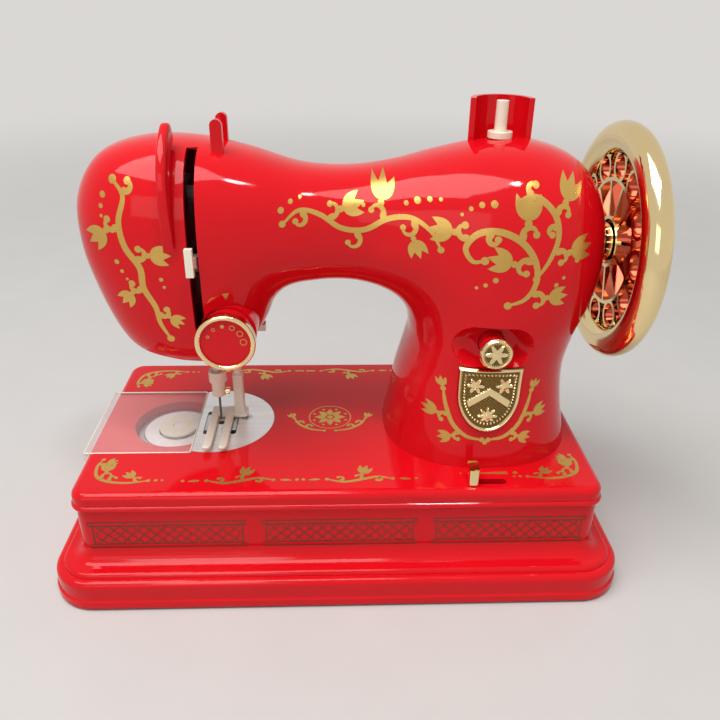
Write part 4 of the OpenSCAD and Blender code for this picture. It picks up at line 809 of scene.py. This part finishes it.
def hoop(at, r, width):
    """Flat ring of a width about the radius r."""
    return ring_marks(at, (r - width / 2, r, r + width / 2), 40)


def leaf(at, heading, reach, wide, turn=0.0):
    """Pointed leaf: a bent path whose width swells and fades as sin(pi s^0.8)."""
    path = bent(at, heading, reach, turn, 20)
    return stroke(path, wide * np.sin(np.pi * np.linspace(0, 1, 20) ** 0.8))


def bud(at, heading, size):
    """Open bud: a round cup on a small calyx, one petal straight on and two that bend away from it."""
    tip = np.asarray(at, float)
    way = np.array([math.cos(math.radians(heading)), math.sin(math.radians(heading))])
    base = tip + way * 0.10 * size
    petals = [leaf(base, heading + a, reach * size, 0.40 * size, turn)
              for a, reach, turn in ((0, 1.0, 0.0), (40, 0.98, -26), (-40, 0.98, 26))]
    return [dot(base + way * 0.34 * size, 0.33 * size), *petals, dot(tip, 0.14 * size)]


def tendril(at, heading, reach, turn, width):
    """Stem that thins as it curls up and ends in a ball."""
    path = bent(at, heading, reach, turn, 56, 1.5)
    s = np.linspace(0, 1, len(path))
    swell = 0.35 + 0.65 * np.sin(np.pi * (0.25 + 0.75 * s)) ** 0.8
    return [stroke(path, width * swell), dot(path[-1], 0.62 * width)]


def vine(points, width, shoots):
    """Stem through points, thin at both ends, with shoots (share, side, reach, turn, bud size) that leave it
    at a slant."""
    path = through(points)
    s = np.linspace(0, 1, len(path))
    marks = [stroke(path, width * (0.3 + 0.7 * np.sin(np.pi * s) ** 0.6)), dot(path[0], 0.6 * width),
             dot(path[-1], 0.6 * width)]
    way = np.gradient(path, axis=0)
    for share, side, reach, turn, size in shoots:
        k = int(share * (len(path) - 1))
        heading = math.degrees(math.atan2(way[k, 1], way[k, 0])) + side * 42
        marks += tendril(path[k], heading, reach, side * turn, 0.85 * width)
        marks.append(leaf(path[k], heading + side * 30, 0.45 * reach, 0.9 * width, -side * 30))
        if size:
            half_way = bent(path[k], heading, reach, side * turn, 56, 1.5)[28]
            out = path[k] + (half_way - path[k]) * 1.35
            marks += bud(out, heading + side * 12, 1.6 * size)
    return marks


def moved(marks, scale=(1, 1), by=(0, 0)):
    """The same marks, mirrored or moved on the flat."""
    return [(np.asarray(p) * np.array(scale) + np.array(by, float), q) for p, q in marks]


def ink_piece(name, marks, place, way, finish, body="machine", slot="gold_plating"):
    """All marks of one print as one thin piece, carried from the flat onto a surface that looks the given
    way. Marks lie at sixteen heights in turn, so that none meets its neighbour in one plane."""
    lift, layer, layers = bpy.context.scene.print_sizes.lift, 0.004 * MM, 16
    flat, over, faces, n = [], [], [], 0
    for k, (points, quads) in enumerate(marks):
        p = np.asarray(points, float).reshape(-1, 2)
        flat.append(p)
        faces.append(quads + n)
        over.append(np.full((len(p), 1), lift + layer * (k % layers)))
        n += len(p)
    points = place(np.concatenate(flat) * MM, np.concatenate(over))
    obj = put_mesh(name, points, np.concatenate(faces), 30, merge=False)
    return face_way(fit(obj, body, slot, finish), way)


class MACHINE_OT_body_print(Operator):
    """Gold scrolls, leaves, buds and dots on head, arm and column"""
    bl_idname = "machine.body_print"
    bl_label = "Print on the casing"

    def execute(self, context):
        w = context.scene.print_sizes.stem_w / MM
        trim = context.scene.trim_sizes
        # head, left of the fin
        marks = vine([(-93, 190), (-88.5, 184), (-91, 174), (-89.5, 164), (-84, 155), (-83.5, 146),
                      (-79.5, 137), (-78.5, 129), (-75, 121)], 1.5 * w,
                     [(0.10, 1, 8, 190, 0), (0.27, -1, 10, 200, 6.2), (0.45, 1, 10, 210, 5.6),
                      (0.62, -1, 9, 200, 5.0), (0.80, 1, 8, 190, 4.2)])
        marks += dots((-97.5, 184, 1.3), (-98.5, 179.5, 1.0), (-98.6, 175.6, 0.75), (-93.8, 157, 1.1),
                      (-92, 153, 0.85), (-90.2, 149.6, 0.65), (-75.5, 150, 0.9), (-74.6, 146.5, 0.7))
        # arm
        marks += vine([(-24, 172), (-17, 177), (-8, 175), (1, 169.5), (11, 169), (21, 174), (31, 175),
                       (39, 170), (43, 163)], 1.25 * w,
                      [(0.14, -1, 11, 230, 0), (0.30, 1, 11, 200, 6.0), (0.46, -1, 13, 220, 0),
                       (0.60, 1, 11, 190, 6.4), (0.76, -1, 13, 230, 5.2), (0.90, 1, 10, 210, 0)])
        marks += dots((-24.5, 177.5, 1.3), (-20.5, 180.6, 1.0), (-16.5, 182.0, 0.75), (6, 178.5, 1.3),
                      (1.6, 177.3, 0.9), (10.4, 178.9, 0.9), (33, 182, 1.4), (38, 182.8, 1.1),
                      (28.4, 180.6, 1.0), (42.5, 183, 0.8))
        # column
        marks += vine([(72, 141), (79, 144), (83, 151), (82, 160), (76, 168), (67, 172), (58, 171), (53, 165),
                       (56, 159.5), (61, 160)], 1.5 * w,
                      [(0.16, -1, 12, 210, 5.4), (0.34, 1, 14, 230, 6.6), (0.46, -1, 12, 200, 7.2),
                       (0.60, 1, 10, 240, 0), (0.72, -1, 11, 200, 6.4)])
        marks += vine([(83, 153), (88, 161), (91, 170), (89, 179), (82, 185), (75.5, 184), (74.5, 179.5),
                       (78, 178)], 1.4 * w,
                      [(0.20, -1, 11, 210, 6.4), (0.42, -1, 10, 200, 6.6), (0.62, -1, 8, 190, 0),
                       (0.34, 1, 8, 230, 0)])
        marks += dots((100.5, 160, 1.2), (102, 164.5, 1.0), (102.6, 168.6, 0.75), (64, 182.5, 1.5),
                      (59, 182, 1.2), (54.6, 180.4, 0.95), (51, 178, 0.7), (66, 152, 1.2), (62, 149.6, 0.95),
                      (58.4, 148.2, 0.75), (92, 150, 1.0), (95, 153, 0.8))
        # sprays beside the badge
        mid = trim.badge_x / MM
        for side in (-1, 1):
            rise = ((1.5, 71.5), (9, 73.2), (15.5, 79), (19, 88), (20.5, 96))
            stem = [(mid + side * x, z) for x, z in rise]
            marks += vine(stem, 1.1 * w, [(0.35, -side, 7, 200, 4.0), (0.62, -side, 7.5, 190, 4.4)])
            marks += bud((mid + side * 20.8, 96.8), 90 - side * 14, 5.0)
            marks += dots((mid + side * 24, 83, 0.8), (mid + side * 24.4, 86.4, 0.6))
        marks.append(dot((mid, 70.2), 1.2))
        # mark that the dial is read against
        above = trim.dial_x / MM
        marks.append(stroke(np.array([(above, 139.2), (above, 140.6), (above, 142.2)]), [0.1, 1.5, 2.8]))
        ink_piece("casing_print", marks, on_front, (0, -1, 0), "gold_ink")
        return {"FINISHED"}


class MACHINE_OT_deck_print(Operator):
    """Gold border and rosette on the deck"""
    bl_idname = "machine.deck_print"
    bl_label = "Print on the deck"

    def execute(self, context):
        w, deck = context.scene.print_sizes.stem_w / MM, context.scene.casing_sizes.deck
        corner = vine([(-89, -52.5), (-98, -54), (-107, -53), (-113.5, -49), (-115.5, -41), (-114, -35.5)],
                      0.9 * w, [(0.12, -1, 6, 200, 3.8), (0.40, -1, 7, 200, 0), (0.52, -1, 9, 200, 4.4),
                                (0.84, -1, 6, 190, 3.4)])
        corner += dots((-85.5, -52.4, 0.9), (-82.6, -52.4, 0.7))
        marks = []
        for sx in (-1, 1):
            for sy in (-1, 1):
                marks += moved(corner, (sx, sy))
        link = vine([(-30, -53), (-22, -55), (-14, -53.4), (-6, -51.4), (1, -53)], 0.9 * w,
                    [(0.2, 1, 6, 200, 0), (0.5, 1, 6, 190, 4.4), (0.78, -1, 5, 200, 0)])
        link += [leaf((-33, -53), 180, 6, 1.6, 10), dot((-41, -53), 0.9), leaf((4, -53), 0, 6, 1.6, -10),
                 dot((12, -53), 0.9)]
        for sy, dx in ((1, -32), (1, 24), (-1, -30), (-1, 20)):
            marks += moved(link, (1, sy), (dx, 0))
        # wedge that grows towards the fast end of the lever's slot
        wedge = np.stack([np.linspace(61, 80, 12), np.full(12, -49.6)], -1)
        marks += [stroke(wedge, np.linspace(0.3, 2.4, 12)), *dots((57.5, -49.6, 0.6), (83.6, -49.6, 1.2))]
        # rosette
        cx, cy = -4.6, 1.4
        for a in np.radians(np.arange(0, 360, 45)):
            marks.append(leaf((cx + 2.1 * np.cos(a), cy + 1.7 * np.sin(a)), np.degrees(a), 6.2, 3.4))
            b = a + np.pi / 8
            marks.append(dot((cx + 9.0 * np.cos(b), cy + 8.0 * np.sin(b)), 0.75))
        marks += [dot((cx, cy), 1.5), hoop((cx, cy), 11.0, 0.6)]
        for side in (-1, 1):
            stem = [(cx + side * x, cy + y) for x, y in ((3, -13.2), (10, -11.6), (16, -7), (19, -1))]
            marks += vine(stem, 0.85 * w, [(0.45, side, 6, 200, 0), (0.75, side, 5, 190, 0)])
            marks += bud((cx + side * 19.3, cy - 0.4), 90 - side * 25, 4.6)

        def on_deck(flat, over):
            return np.concatenate([flat, deck + over], 1)

        ink_piece("deck_print", marks, on_deck, (0, 0, 1), "gold_ink")
        return {"FINISHED"}


class MACHINE_OT_bands(Operator):
    """Crossed bands in three panels on the base's front and back"""
    bl_idname = "machine.bands"
    bl_label = "Crossed bands"

    def execute(self, context):
        ink = context.scene.print_sizes
        low, high, w = ink.band_low / MM, ink.band_high / MM, ink.line_w / MM
        # inner frame: step in from the sides, step in from foot and top, margin of the zigzags
        in_x, in_z, margin = 1.8, 2.1, 3.0
        a, b = low + in_z, high - in_z
        middle, thin = (a + b) / 2, 0.8 * w
        wall_y, panels = 62.5 * MM, ((-116.6, -43.9), (-36.3, 36.3), (43.9, 116.6))
        marks = []

        def line(points, width=w):
            path = through(points, 24)
            marks.append(stroke(path, np.full(len(path), width)))

        for x0, x1 in panels:
            for z, inset in ((low, 0), (a, in_x), (b, in_x), (high, 0)):
                line([(x0 + inset, z), (x1 - inset, z)])
            for side, x in ((1, x0), (-1, x1)):
                line([(x + side * in_x, a), (x + side * in_x, b)])
                for z, way in ((low, 1), (high, -1)):
                    marks.append(hoop((x + side * in_x / 2, z + way * in_z / 2), in_z / 2, 0.6 * w))
            step = (x1 - x0 - 2 * margin) / 6
            # two zigzags and their mirror, half a step apart, cross in open diamonds
            for k in (0, 1, 2, 3, 4, 5, 0.5, 1.5, 2.5, 3.5, 4.5):
                p = x0 + margin + k * step
                for foot, top in ((a, b), (b, a)):
                    line([(p, foot), (p + step / 2, middle), (p + step, top)], thin)
            for p, way in ((x0 + margin, 1), (x1 - margin, -1)):
                line([(p + way * step / 2, a), (p, middle), (p + way * step / 2, b)], thin)
        for name, way in (("front_bands", -1), ("rear_bands", 1)):
            def on_wall(flat, over):
                return np.stack([flat[:, 0], way * (wall_y + over[:, 0]), flat[:, 1]], -1)

            ink_piece(name, marks, on_wall, (0, way, 0), "band_ink", slot="bronze")
        return {"FINISHED"}


# Trim

def soft_step(d, soft):
    """0 outside, 1 inside, smooth over the width soft about d = 0 (d grows inwards)."""
    s = np.clip(d / soft + 0.5, 0, 1)
    return s * s * (3 - 2 * s)


def rosette_relief(x, z, r, petals):
    """Flower of cosine petals: inside r (0.74 + 0.26 cos(n a)), with a sunk ring and a raised middle."""
    rho, a = np.hypot(x, z), np.arctan2(z, x)
    edge = r * (0.74 + 0.26 * np.cos(petals * a))
    return soft_step(edge - rho, 0.22 * r) * (0.75 + 0.25 * np.cos(np.pi * rho / (0.5 * r)))


class MACHINE_OT_badge(Operator):
    """Gold shield on the column, with a raised rim, a chevron and three rosettes"""
    bl_idname = "machine.badge"
    bl_label = "Badge"

    def execute(self, context):
        trim = context.scene.trim_sizes
        w, high, knee = trim.badge_w / 2, trim.badge_h, 0.42 * trim.badge_h
        rim_in, rim_w, rim_h, relief_h = 1.0 * MM, 0.62 * MM, 1.0 * MM, 1.15 * MM
        bead_in, bead_w, bead_pitch, check_pitch = 3.3 * MM, 0.5 * MM, 2.1 * MM, 1.7 * MM
        chevron_half, chevron_up, chevron_soft = 2.1 * MM, 8.2 * MM, 0.9 * MM
        field_in, field_soft, edge_drop, edge_w, sunk = 4.2 * MM, 0.8 * MM, 0.5 * MM, 0.25 * MM, 0.6 * MM
        flowers = ((-6.6, -9.2, 4.2, 6), (6.6, -9.2, 4.2, 6), (0, -25.0, 4.6, 8))  # x, z, radius, petals
        # outline: flat top, straight flanks, half ellipse below
        foot = np.linspace(0, np.pi, 110)
        line = np.concatenate([
            np.stack([np.linspace(-w, w, 60, endpoint=False), np.zeros(60)], -1),
            np.stack([np.full(30, w), np.linspace(0, -knee, 30, endpoint=False)], -1),
            np.stack([w * np.cos(foot), -knee - (high - knee) * np.sin(foot)], -1),
            np.stack([np.full(30, -w), np.linspace(-knee, 0, 31)[1:]], -1)[:-1]])
        middle = np.array([0.0, -0.44 * high])
        share = np.concatenate([np.linspace(0, 0.86, 74), np.linspace(0.86, 1.0, 30)[1:]])
        flat = middle + share[:, None, None] * (line - middle)
        x, z = flat[..., 0], flat[..., 1]
        inside = np.minimum(np.minimum(w - np.abs(x), -z),
                            np.where(z < -knee, (1 - np.hypot(x / w, (z + knee) / (high - knee))) * w, w))
        rim = np.exp(-((inside - rim_in) / rim_w) ** 2)
        off = z + 0.60 * high + 0.75 * np.abs(x) - chevron_up
        chevron = soft_step(chevron_half - np.abs(off), chevron_soft)
        field = 0.24 * np.cos(2 * np.pi * x / check_pitch) * np.cos(2 * np.pi * z / check_pitch)
        walk = np.concatenate([[0], np.cumsum(np.linalg.norm(np.diff(line, axis=0), axis=1))])
        wave = 0.5 + 0.5 * np.cos(2 * np.pi * walk / bead_pitch)
        beads = np.exp(-((inside - bead_in) / bead_w) ** 2) * wave
        relief = 0.75 * chevron + field * (1 - chevron)
        for rx, rz, r, n in flowers:
            relief = np.maximum(relief, rosette_relief(x - rx * MM, z - rz * MM, r * MM, n))
        relief = np.maximum(relief * soft_step(inside - field_in, field_soft), 0.8 * beads)
        lift = trim.badge_t + rim_h * rim + relief_h * relief - edge_drop * np.exp(-inside / edge_w)
        at = np.stack([trim.badge_x + x, trim.badge_top + z], -1)
        points = on_front(at.reshape(-1, 2), lift.ravel()[:, None]).reshape(at.shape[:2] + (3,))
        skirt = on_front(at[-1], -sunk)
        back = on_front(np.repeat(at[:1, 0], len(line), 0), -sunk)
        points = np.concatenate([points, skirt[None], back[None]])
        # the relief's height also places painted shade: the low parts of the field get the dark painted shade
        # of the gold
        height = np.concatenate([np.maximum(rim, relief), np.ones((2, len(line)))])
        grid = points, grid_faces(len(points), len(line), close_cols=True)
        fit(closed_piece("badge", grid, 50, height), "machine", "gold_plating", "hollow_shade_painted_gold",
            "shield_badge")
        return {"FINISHED"}


class MACHINE_OT_button(Operator):
    """Dish round the button, and the button's medallion with a rosette"""
    bl_idname = "machine.button"
    bl_label = "Button"

    def execute(self, context):
        trim = context.scene.trim_sizes
        cx, cz = trim.button_x, trim.button_z
        # dish: sinks from the casing's skin at the pill's edge to a flat floor round the stem
        steps, clear, stem_gap, lip = 144, 0.1 * MM, 0.35 * MM, 0.15 * MM
        pill = pill_outline(cx, cz, trim.pill_l - clear, trim.pill_h - clear, steps)
        turn = turns(steps)
        hole_r = trim.stem_r + stem_gap
        hole = np.stack([cx + hole_r * np.cos(turn), cz + hole_r * np.sin(turn)], -1)
        s = np.linspace(0, 1, 40)
        flat = pill + s[:, None, None] * (hole - pill)
        edge, floor, under = on_front(pill)[:, 1], -36.2 * MM, -33.0 * MM
        sink = np.sin(np.pi / 2 * np.clip(s / 0.75, 0, 1)) ** 1.25
        rim = np.clip(1 - s / 0.06, 0, 1)[:, None] ** 2
        y = edge + (floor - edge) * sink[:, None] - lip * rim
        front = np.stack([flat[..., 0], y, flat[..., 1]], -1)
        back = np.stack([flat[..., 0], np.full(y.shape, under), flat[..., 1]], -1)[::-1]
        ring = np.concatenate([front, back])
        grid = ring, grid_faces(len(ring), steps, close_rows=True, close_cols=True)
        fit(closed_piece("button_dish", grid, 50), "machine", "dark_red_plastic", "glossy_red",
            "button_bezel")
        # medallion: a rosette inside a ring of fine beads and a round rim
        low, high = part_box("button_medallion")
        r, flower_r, bead_r, rim_r = trim.button_r, 5.0 * MM, 5.3 * MM, 6.3 * MM
        bead_half, bead_soft, rim_w = 0.5 * MM, 0.4 * MM, 0.55 * MM
        plain_r, fall_r, fall_h, carve = 6.6 * MM, 6.7 * MM, 0.8 * MM, 0.9 * MM
        rho = np.concatenate([np.linspace(0, 0.8, 44), np.linspace(0.8, 1.0, 26)[1:]]) * r
        p, t = np.meshgrid(rho, turn, indexing="ij")
        x, z = p * np.cos(t), p * np.sin(t)
        relief = 0.9 * rosette_relief(x, z, flower_r, 6) + 0.7 * np.exp(-((p - rim_r) / rim_w) ** 2)
        relief += 0.35 * soft_step(bead_half - np.abs(p - bead_r), bead_soft) * (0.5 + 0.5 * np.cos(36 * t))
        fall = np.where(p > fall_r, ((p - fall_r) / (r - fall_r)) ** 2, 0) * fall_h
        y = low[1] + carve * (1 - relief.clip(0, 1)) + fall
        rim = np.stack([cx + x[-1], np.full(steps, high[1]), cz + z[-1]], -1)
        mid = np.repeat([[cx, high[1], cz]], steps, 0)
        points = np.concatenate([np.stack([cx + x, y, cz + z], -1), rim[None], mid[None]])
        # the relief's height also places painted shade: the sunk parts of the medallion get the dark painted
        # shade of the gold
        height = np.concatenate([np.maximum(relief, p > plain_r), np.ones((2, steps))])
        grid = points, grid_faces(len(points), steps, close_cols=True)
        fit(closed_piece("button_rosette", grid, 50, height), "button", "gold_plating", "hollow_shade_painted_gold",
            "button_medallion")
        return {"FINISHED"}


class MACHINE_OT_dial(Operator):
    """Tension dial: red drum, rounded gold ring and printed marks that grow round the face"""
    bl_idname = "machine.dial"
    bl_label = "Tension dial"

    def execute(self, context):
        trim = context.scene.trim_sizes
        at = (trim.dial_x, 0, trim.dial_z)
        face, under, pin_r, clear = -44.0 * MM, -33.5 * MM, 3 * MM, 0.05 * MM
        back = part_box("tension_dial")[1][1]
        r = trim.drum_r - clear
        drum = [(face, 0), (face, 0.6 * trim.drum_r), (face, r), (under, r), (under, pin_r), (back, pin_r),
                (back, 0)]
        fit(closed_piece("dial_drum", revolve(drum, at, "y")), "dial", "red_plastic", "glossy_red",
            "tension_dial")
        low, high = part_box("dial_ring")
        front, back, out, inn = low[1], high[1], trim.dial_r, trim.drum_r
        bulge, step, bevel, bevel_r = 0.35 * MM, 0.02 * MM, 0.6 * MM, 0.4 * MM
        half = (out - inn) / 2 + bulge
        crown = arc(front + half, out - half, half, 270, 90, 22)
        ring = np.concatenate([[(back, inn), (face + step, inn)], crown,
                               [(back - bevel, out), (back, out - bevel_r), (back, inn)]])
        fit(closed_piece("dial_rim", revolve(ring, at, "y", 144)), "dial", "gold_plating",
            "pale_gold_plating", "dial_ring")
        # marks: radius of their circle in mm, angle of the first and step to the next in degrees
        mark_r, first, apart, marks = 7.9, 158, 31, []
        for k, size in enumerate((0.55, 0.7, 0.85, 1.05, 1.25, 1.4)):
            a = math.radians(first - apart * k)
            p = (mark_r * math.cos(a), mark_r * math.sin(a))
            marks.append(dot(p, size) if k == 2 else hoop(p, size, 0.28))

        def on_face(flat, over):
            return np.stack([trim.dial_x + flat[:, 0], face - over[:, 0], trim.dial_z + flat[:, 1]], -1)

        ink_piece("dial_marks", marks, on_face, (0, -1, 0), "gold_ink", "dial")
        return {"FINISHED"}


class MACHINE_OT_head_fittings(Operator):
    """Thread fin on the head's front, bobbin cover and the red well under it"""
    bl_idname = "machine.head_fittings"
    bl_label = "Fin, cover and well"

    def execute(self, context):
        # fin: a rounded section that follows the casing's front at a gap, high at its top, fading to its foot
        fin_x, gap, rise, half, least = -70.5 * MM, 2.2 * MM, 12.0 * MM, 2.25 * MM, 0.4 * MM
        # stretch of the casing's run and of its turn in degrees that the fin lies on
        run_from, run_to, top, foot = 4.4, 8.6, 17.5, 88
        t = np.linspace(run_from, run_to, 320)
        a = np.radians(np.linspace(top, foot, 76))
        cx, cs = squared(turns(36), 0.5, 0.6)
        s = np.linspace(0, 1, len(a))
        tall = rise * np.cos(np.pi / 2 * s) ** 0.8 + least
        ends = np.sqrt(np.clip(1 - (1 - np.clip(s / 0.10, 0, 1)) ** 2, 0, 1))
        rows = []
        for out in (gap, gap + rise):
            skin = casing_skin(t, -a, out)
            rows.append([[np.interp(fin_x, line[:, 0], line[:, j]) for j in (1, 2)]
                         for line in skin.swapaxes(0, 1)])
        inner, outer = np.array(rows)
        way = (outer - inner) / rise
        mid = inner + way * (tall / 2)[:, None]
        flat = mid[:, None] + way[:, None] * ((tall / 2) * ends)[:, None, None] * cs[None, :, None]
        x = fin_x + half * (0.25 + 0.75 * ends)[:, None] * cx
        grid = capped(np.stack([x, flat[..., 0], flat[..., 1]], -1))
        fit(closed_piece("fin", grid, 60), "machine", "red_plastic", "glossy_red", "thread_fin")

        # clear cover: rounded slab with a grip lip at its left end, and a milky edge
        (x0, y0, z0), (x1, y1, z1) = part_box("bobbin_cover")
        sheet, corner, bevel = 1.9 * MM, 1.2 * MM, 0.35 * MM
        grip, grip_corner, grip_bevel, step = 2 * MM, 0.6 * MM, 0.3 * MM, 0.05 * MM
        parts = [slab((x0, y0, z1 - sheet), (x1, y1, z1), corner, bevel),
                 slab((x0, y0, z0), (x0 + grip, y1, z1 - step), grip_corner, grip_bevel)]
        fit(closed_piece("cover_sheet", joined(parts), 40), "cover", "clear_plastic", "clear_cover_sheet",
            "bobbin_cover")
        inset, below, edge_r = 0.5 * MM, 0.42 * MM, 0.4 * MM
        edge = rounded_path(x0 + inset, y0 + inset, x1 - inset, y1 - inset, corner)
        loop = np.concatenate([edge, np.full((len(edge), 1), z1 - below)], 1)
        grid = tube(np.concatenate([loop, loop[:2]]), edge_r)
        fit(closed_piece("cover_edge", grid, 60), "cover", "clear_plastic", "milky_plastic")

        # red well between the hook and the deck: (height, radius) in mm
        low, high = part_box("shuttle_hook")
        r, foot, brim, out = (high[0] - low[0]) / 2 / MM + 0.6, 47, 53.4, 22.9
        well = np.array([(foot, r), (foot + 1, r), (foot + 1.2, r + 0.4), (foot + 1.6, out - 1.5),
                         (brim, out - 0.8), (brim, out), (foot, out), (foot, r)])
        grid = revolve(well * MM, ((low[0] + high[0]) / 2, 0, 0), "z", 96)
        fit(closed_piece("bobbin_well", grid, 40), "machine", "red_plastic", "glossy_red")
        return {"FINISHED"}


class MACHINE_OT_foot(Operator):
    """Presser foot: two toes with lifted tips, a bridge behind the needle and a slim, flared ankle"""
    bl_idname = "machine.foot"
    bl_label = "Presser foot"

    def execute(self, context):
        low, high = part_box("presser_foot")
        toe_w, toe_gap, sole, curl, tip_lift = 4.2 * MM, 3.6 * MM, 2.2 * MM, 10 * MM, 1.8 * MM
        bridge, inset, clear, corner, bevel = 8 * MM, 0.4 * MM, 0.1 * MM, 1.2 * MM, 0.5 * MM
        cx, cz = squared(turns(32), 0.45, 0.45)
        # toe: rounded section carried from its round tip to the heel, with the tip lifted as a parabola
        u = np.linspace(0, np.pi / 2, 12)
        y = np.concatenate([low[1] + toe_w / 2 * (1 - np.cos(u)),
                            np.linspace(low[1] + toe_w / 2, high[1], 30)[1:]])
        half = np.concatenate([toe_w / 2 * np.sin(u), np.full(29, toe_w / 2)])
        thick = sole / 2 * (0.35 + 0.65 * half / (toe_w / 2))
        z = low[2] + sole / 2 + tip_lift * np.clip((low[1] + curl - y) / curl, 0, 1) ** 2
        parts = []
        for x in (low[0] + toe_w / 2, low[0] + 1.5 * toe_w + toe_gap):
            parts.append(capped(np.stack([x + half[:, None] * cx, np.repeat(y[:, None], 32, 1),
                                          z[:, None] + thick[:, None] * cz], -1)))
        parts.append(slab((low[0] + inset, high[1] - bridge, low[2] + clear),
                          (high[0], high[1] - clear, low[2] + sole - clear), corner, bevel))
        # ankle, in mm: rounded square carried upwards, wider by exp(-height) at its foot, rounded at its top
        half_w, flare, flare_h, knee, top, bend, draw = 2.75, 1.1, 2.2, 7, 25.0, 0.8, 0.5
        neck = top - bend
        up = np.concatenate([np.linspace(0, knee, 22), np.linspace(knee, neck, 18)[1:], [top - 0.3, top]])
        wide = half_w + flare * np.exp(-up / flare_h) - draw * np.clip((up - neck) / bend, 0, 1) ** 2
        ankle = np.stack([PRESSER_BAR[0] + wide[:, None] * cx, PRESSER_BAR[1] + wide[:, None] * cz,
                          np.repeat(low[2] / MM + up[:, None], 32, 1)], -1)
        parts.append(capped(ankle * MM))
        fit(closed_piece("foot", joined(parts), 40), "presser", NODE_SLOT["presser_foot"], "milky_plastic",
            "presser_foot")
        return {"FINISHED"}


def rounded_path(x0, y0, x1, y1, r):
    """Closed outline of a rectangle with round corners: four quarter circles joined by straight sides."""
    corners = ((x1 - r, y0 + r, -90), (x1 - r, y1 - r, 0), (x0 + r, y1 - r, 90), (x0 + r, y0 + r, 180))
    return np.concatenate([arc(x, y, r, a, a + 90, 8) for x, y, a in corners])


def slab(low, high, corner, edge):
    """Closed slab: a rounded rectangle carried upwards, drawn in along quarter circles at both its edges."""
    a = turns(64)
    low, high = np.asarray(low, float), np.asarray(high, float)
    mid, half = (low + high)[:2] / 2, (high - low)[:2] / 2
    way = np.stack([np.cos(a), np.sin(a)], -1)
    box = np.where(way >= 0, 1, -1) * (half - corner)
    q = np.radians(np.linspace(0, 90, 6))
    inset = np.concatenate([edge * (1 - np.sin(q)), edge * (1 - np.cos(q))])
    z = np.concatenate([low[2] + edge * (1 - np.cos(q)), high[2] - edge * (1 - np.sin(q))])
    flat = mid + box + way * (corner - inset[:, None, None])
    return capped(np.concatenate([flat, np.broadcast_to(z[:, None, None], flat.shape[:2] + (1,))], -1))


class MACHINE_OT_springs(Operator):
    """Coil springs of the presser bar and the button"""
    bl_idname = "machine.springs"
    bl_label = "Springs"

    def execute(self, context):
        for name, node, axis, joint, travel, wire, coils in (
                ("presser_coil", "presser_spring", 2, "presser_lift", 6.0, 0.38, 6),
                ("button_coil", "button_spring", 1, "button_press", 3.0, 0.32, 4)):
            low, high = (np.array(v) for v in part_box(node))
            tall, wire = high[axis] - low[axis], wire * MM
            first, second = [k for k in range(3) if k != axis]
            r = (high[first] - low[first]) / 2 - wire
            anchor = (low + high) / 2
            s = np.linspace(0, 1, 36 * coils)
            path = np.repeat(anchor[None], len(s), 0)
            path[:, first] += r * np.cos(2 * np.pi * coils * s)
            path[:, second] += r * np.sin(2 * np.pi * coils * s)
            path[:, axis] = low[axis] + wire + (tall - 2 * wire) * s
            obj = fit(closed_piece(name, tube(path, wire)), "machine", "steel", "turned_steel", node)
            anchor[axis] = high[axis]
            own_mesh(obj)
        return {"FINISHED"}


# Sidebar and run

class MACHINE_PT_sidebar(Panel):
    """Steps of the build and its sizes"""
    bl_idname = "MACHINE_PT_sidebar"
    bl_label = "Sewing machine"
    bl_space_type = "VIEW_3D"
    bl_region_type = "UI"
    bl_category = "Sewing machine"

    def draw(self, context):
        for step in STEPS:
            self.layout.operator(step.bl_idname)
        for group in GROUPS:
            values = getattr(context.scene, group)
            box = self.layout.box()
            for key in values.__annotations__:
                box.prop(values, key)


GROUPS = {"casing_sizes": CasingSizes, "trim_sizes": TrimSizes, "print_sizes": PrintSizes,
          "finish_tints": FinishTints, "stage_sizes": StageSizes}
STEPS = (MACHINE_OT_finishes, MACHINE_OT_casing, MACHINE_OT_head_fittings, MACHINE_OT_foot,
         MACHINE_OT_dial, MACHINE_OT_button, MACHINE_OT_badge, MACHINE_OT_springs, MACHINE_OT_body_print,
         MACHINE_OT_deck_print, MACHINE_OT_bands, MACHINE_OT_stage)


def register():
    for name, group in GROUPS.items():
        bpy.utils.register_class(group)
        setattr(bpy.types.Scene, name, PointerProperty(type=group))
    for item in STEPS + (MACHINE_PT_sidebar,):
        bpy.utils.register_class(item)


def unregister():
    for item in reversed(STEPS + (MACHINE_PT_sidebar,)):
        bpy.utils.unregister_class(item)
    for name, group in GROUPS.items():
        delattr(bpy.types.Scene, name)
        bpy.utils.unregister_class(group)


def main():
    register()
    for step in STEPS:
        space, name = step.bl_idname.split(".")
        getattr(getattr(bpy.ops, space), name)()


if __name__ == "__main__":
    main()
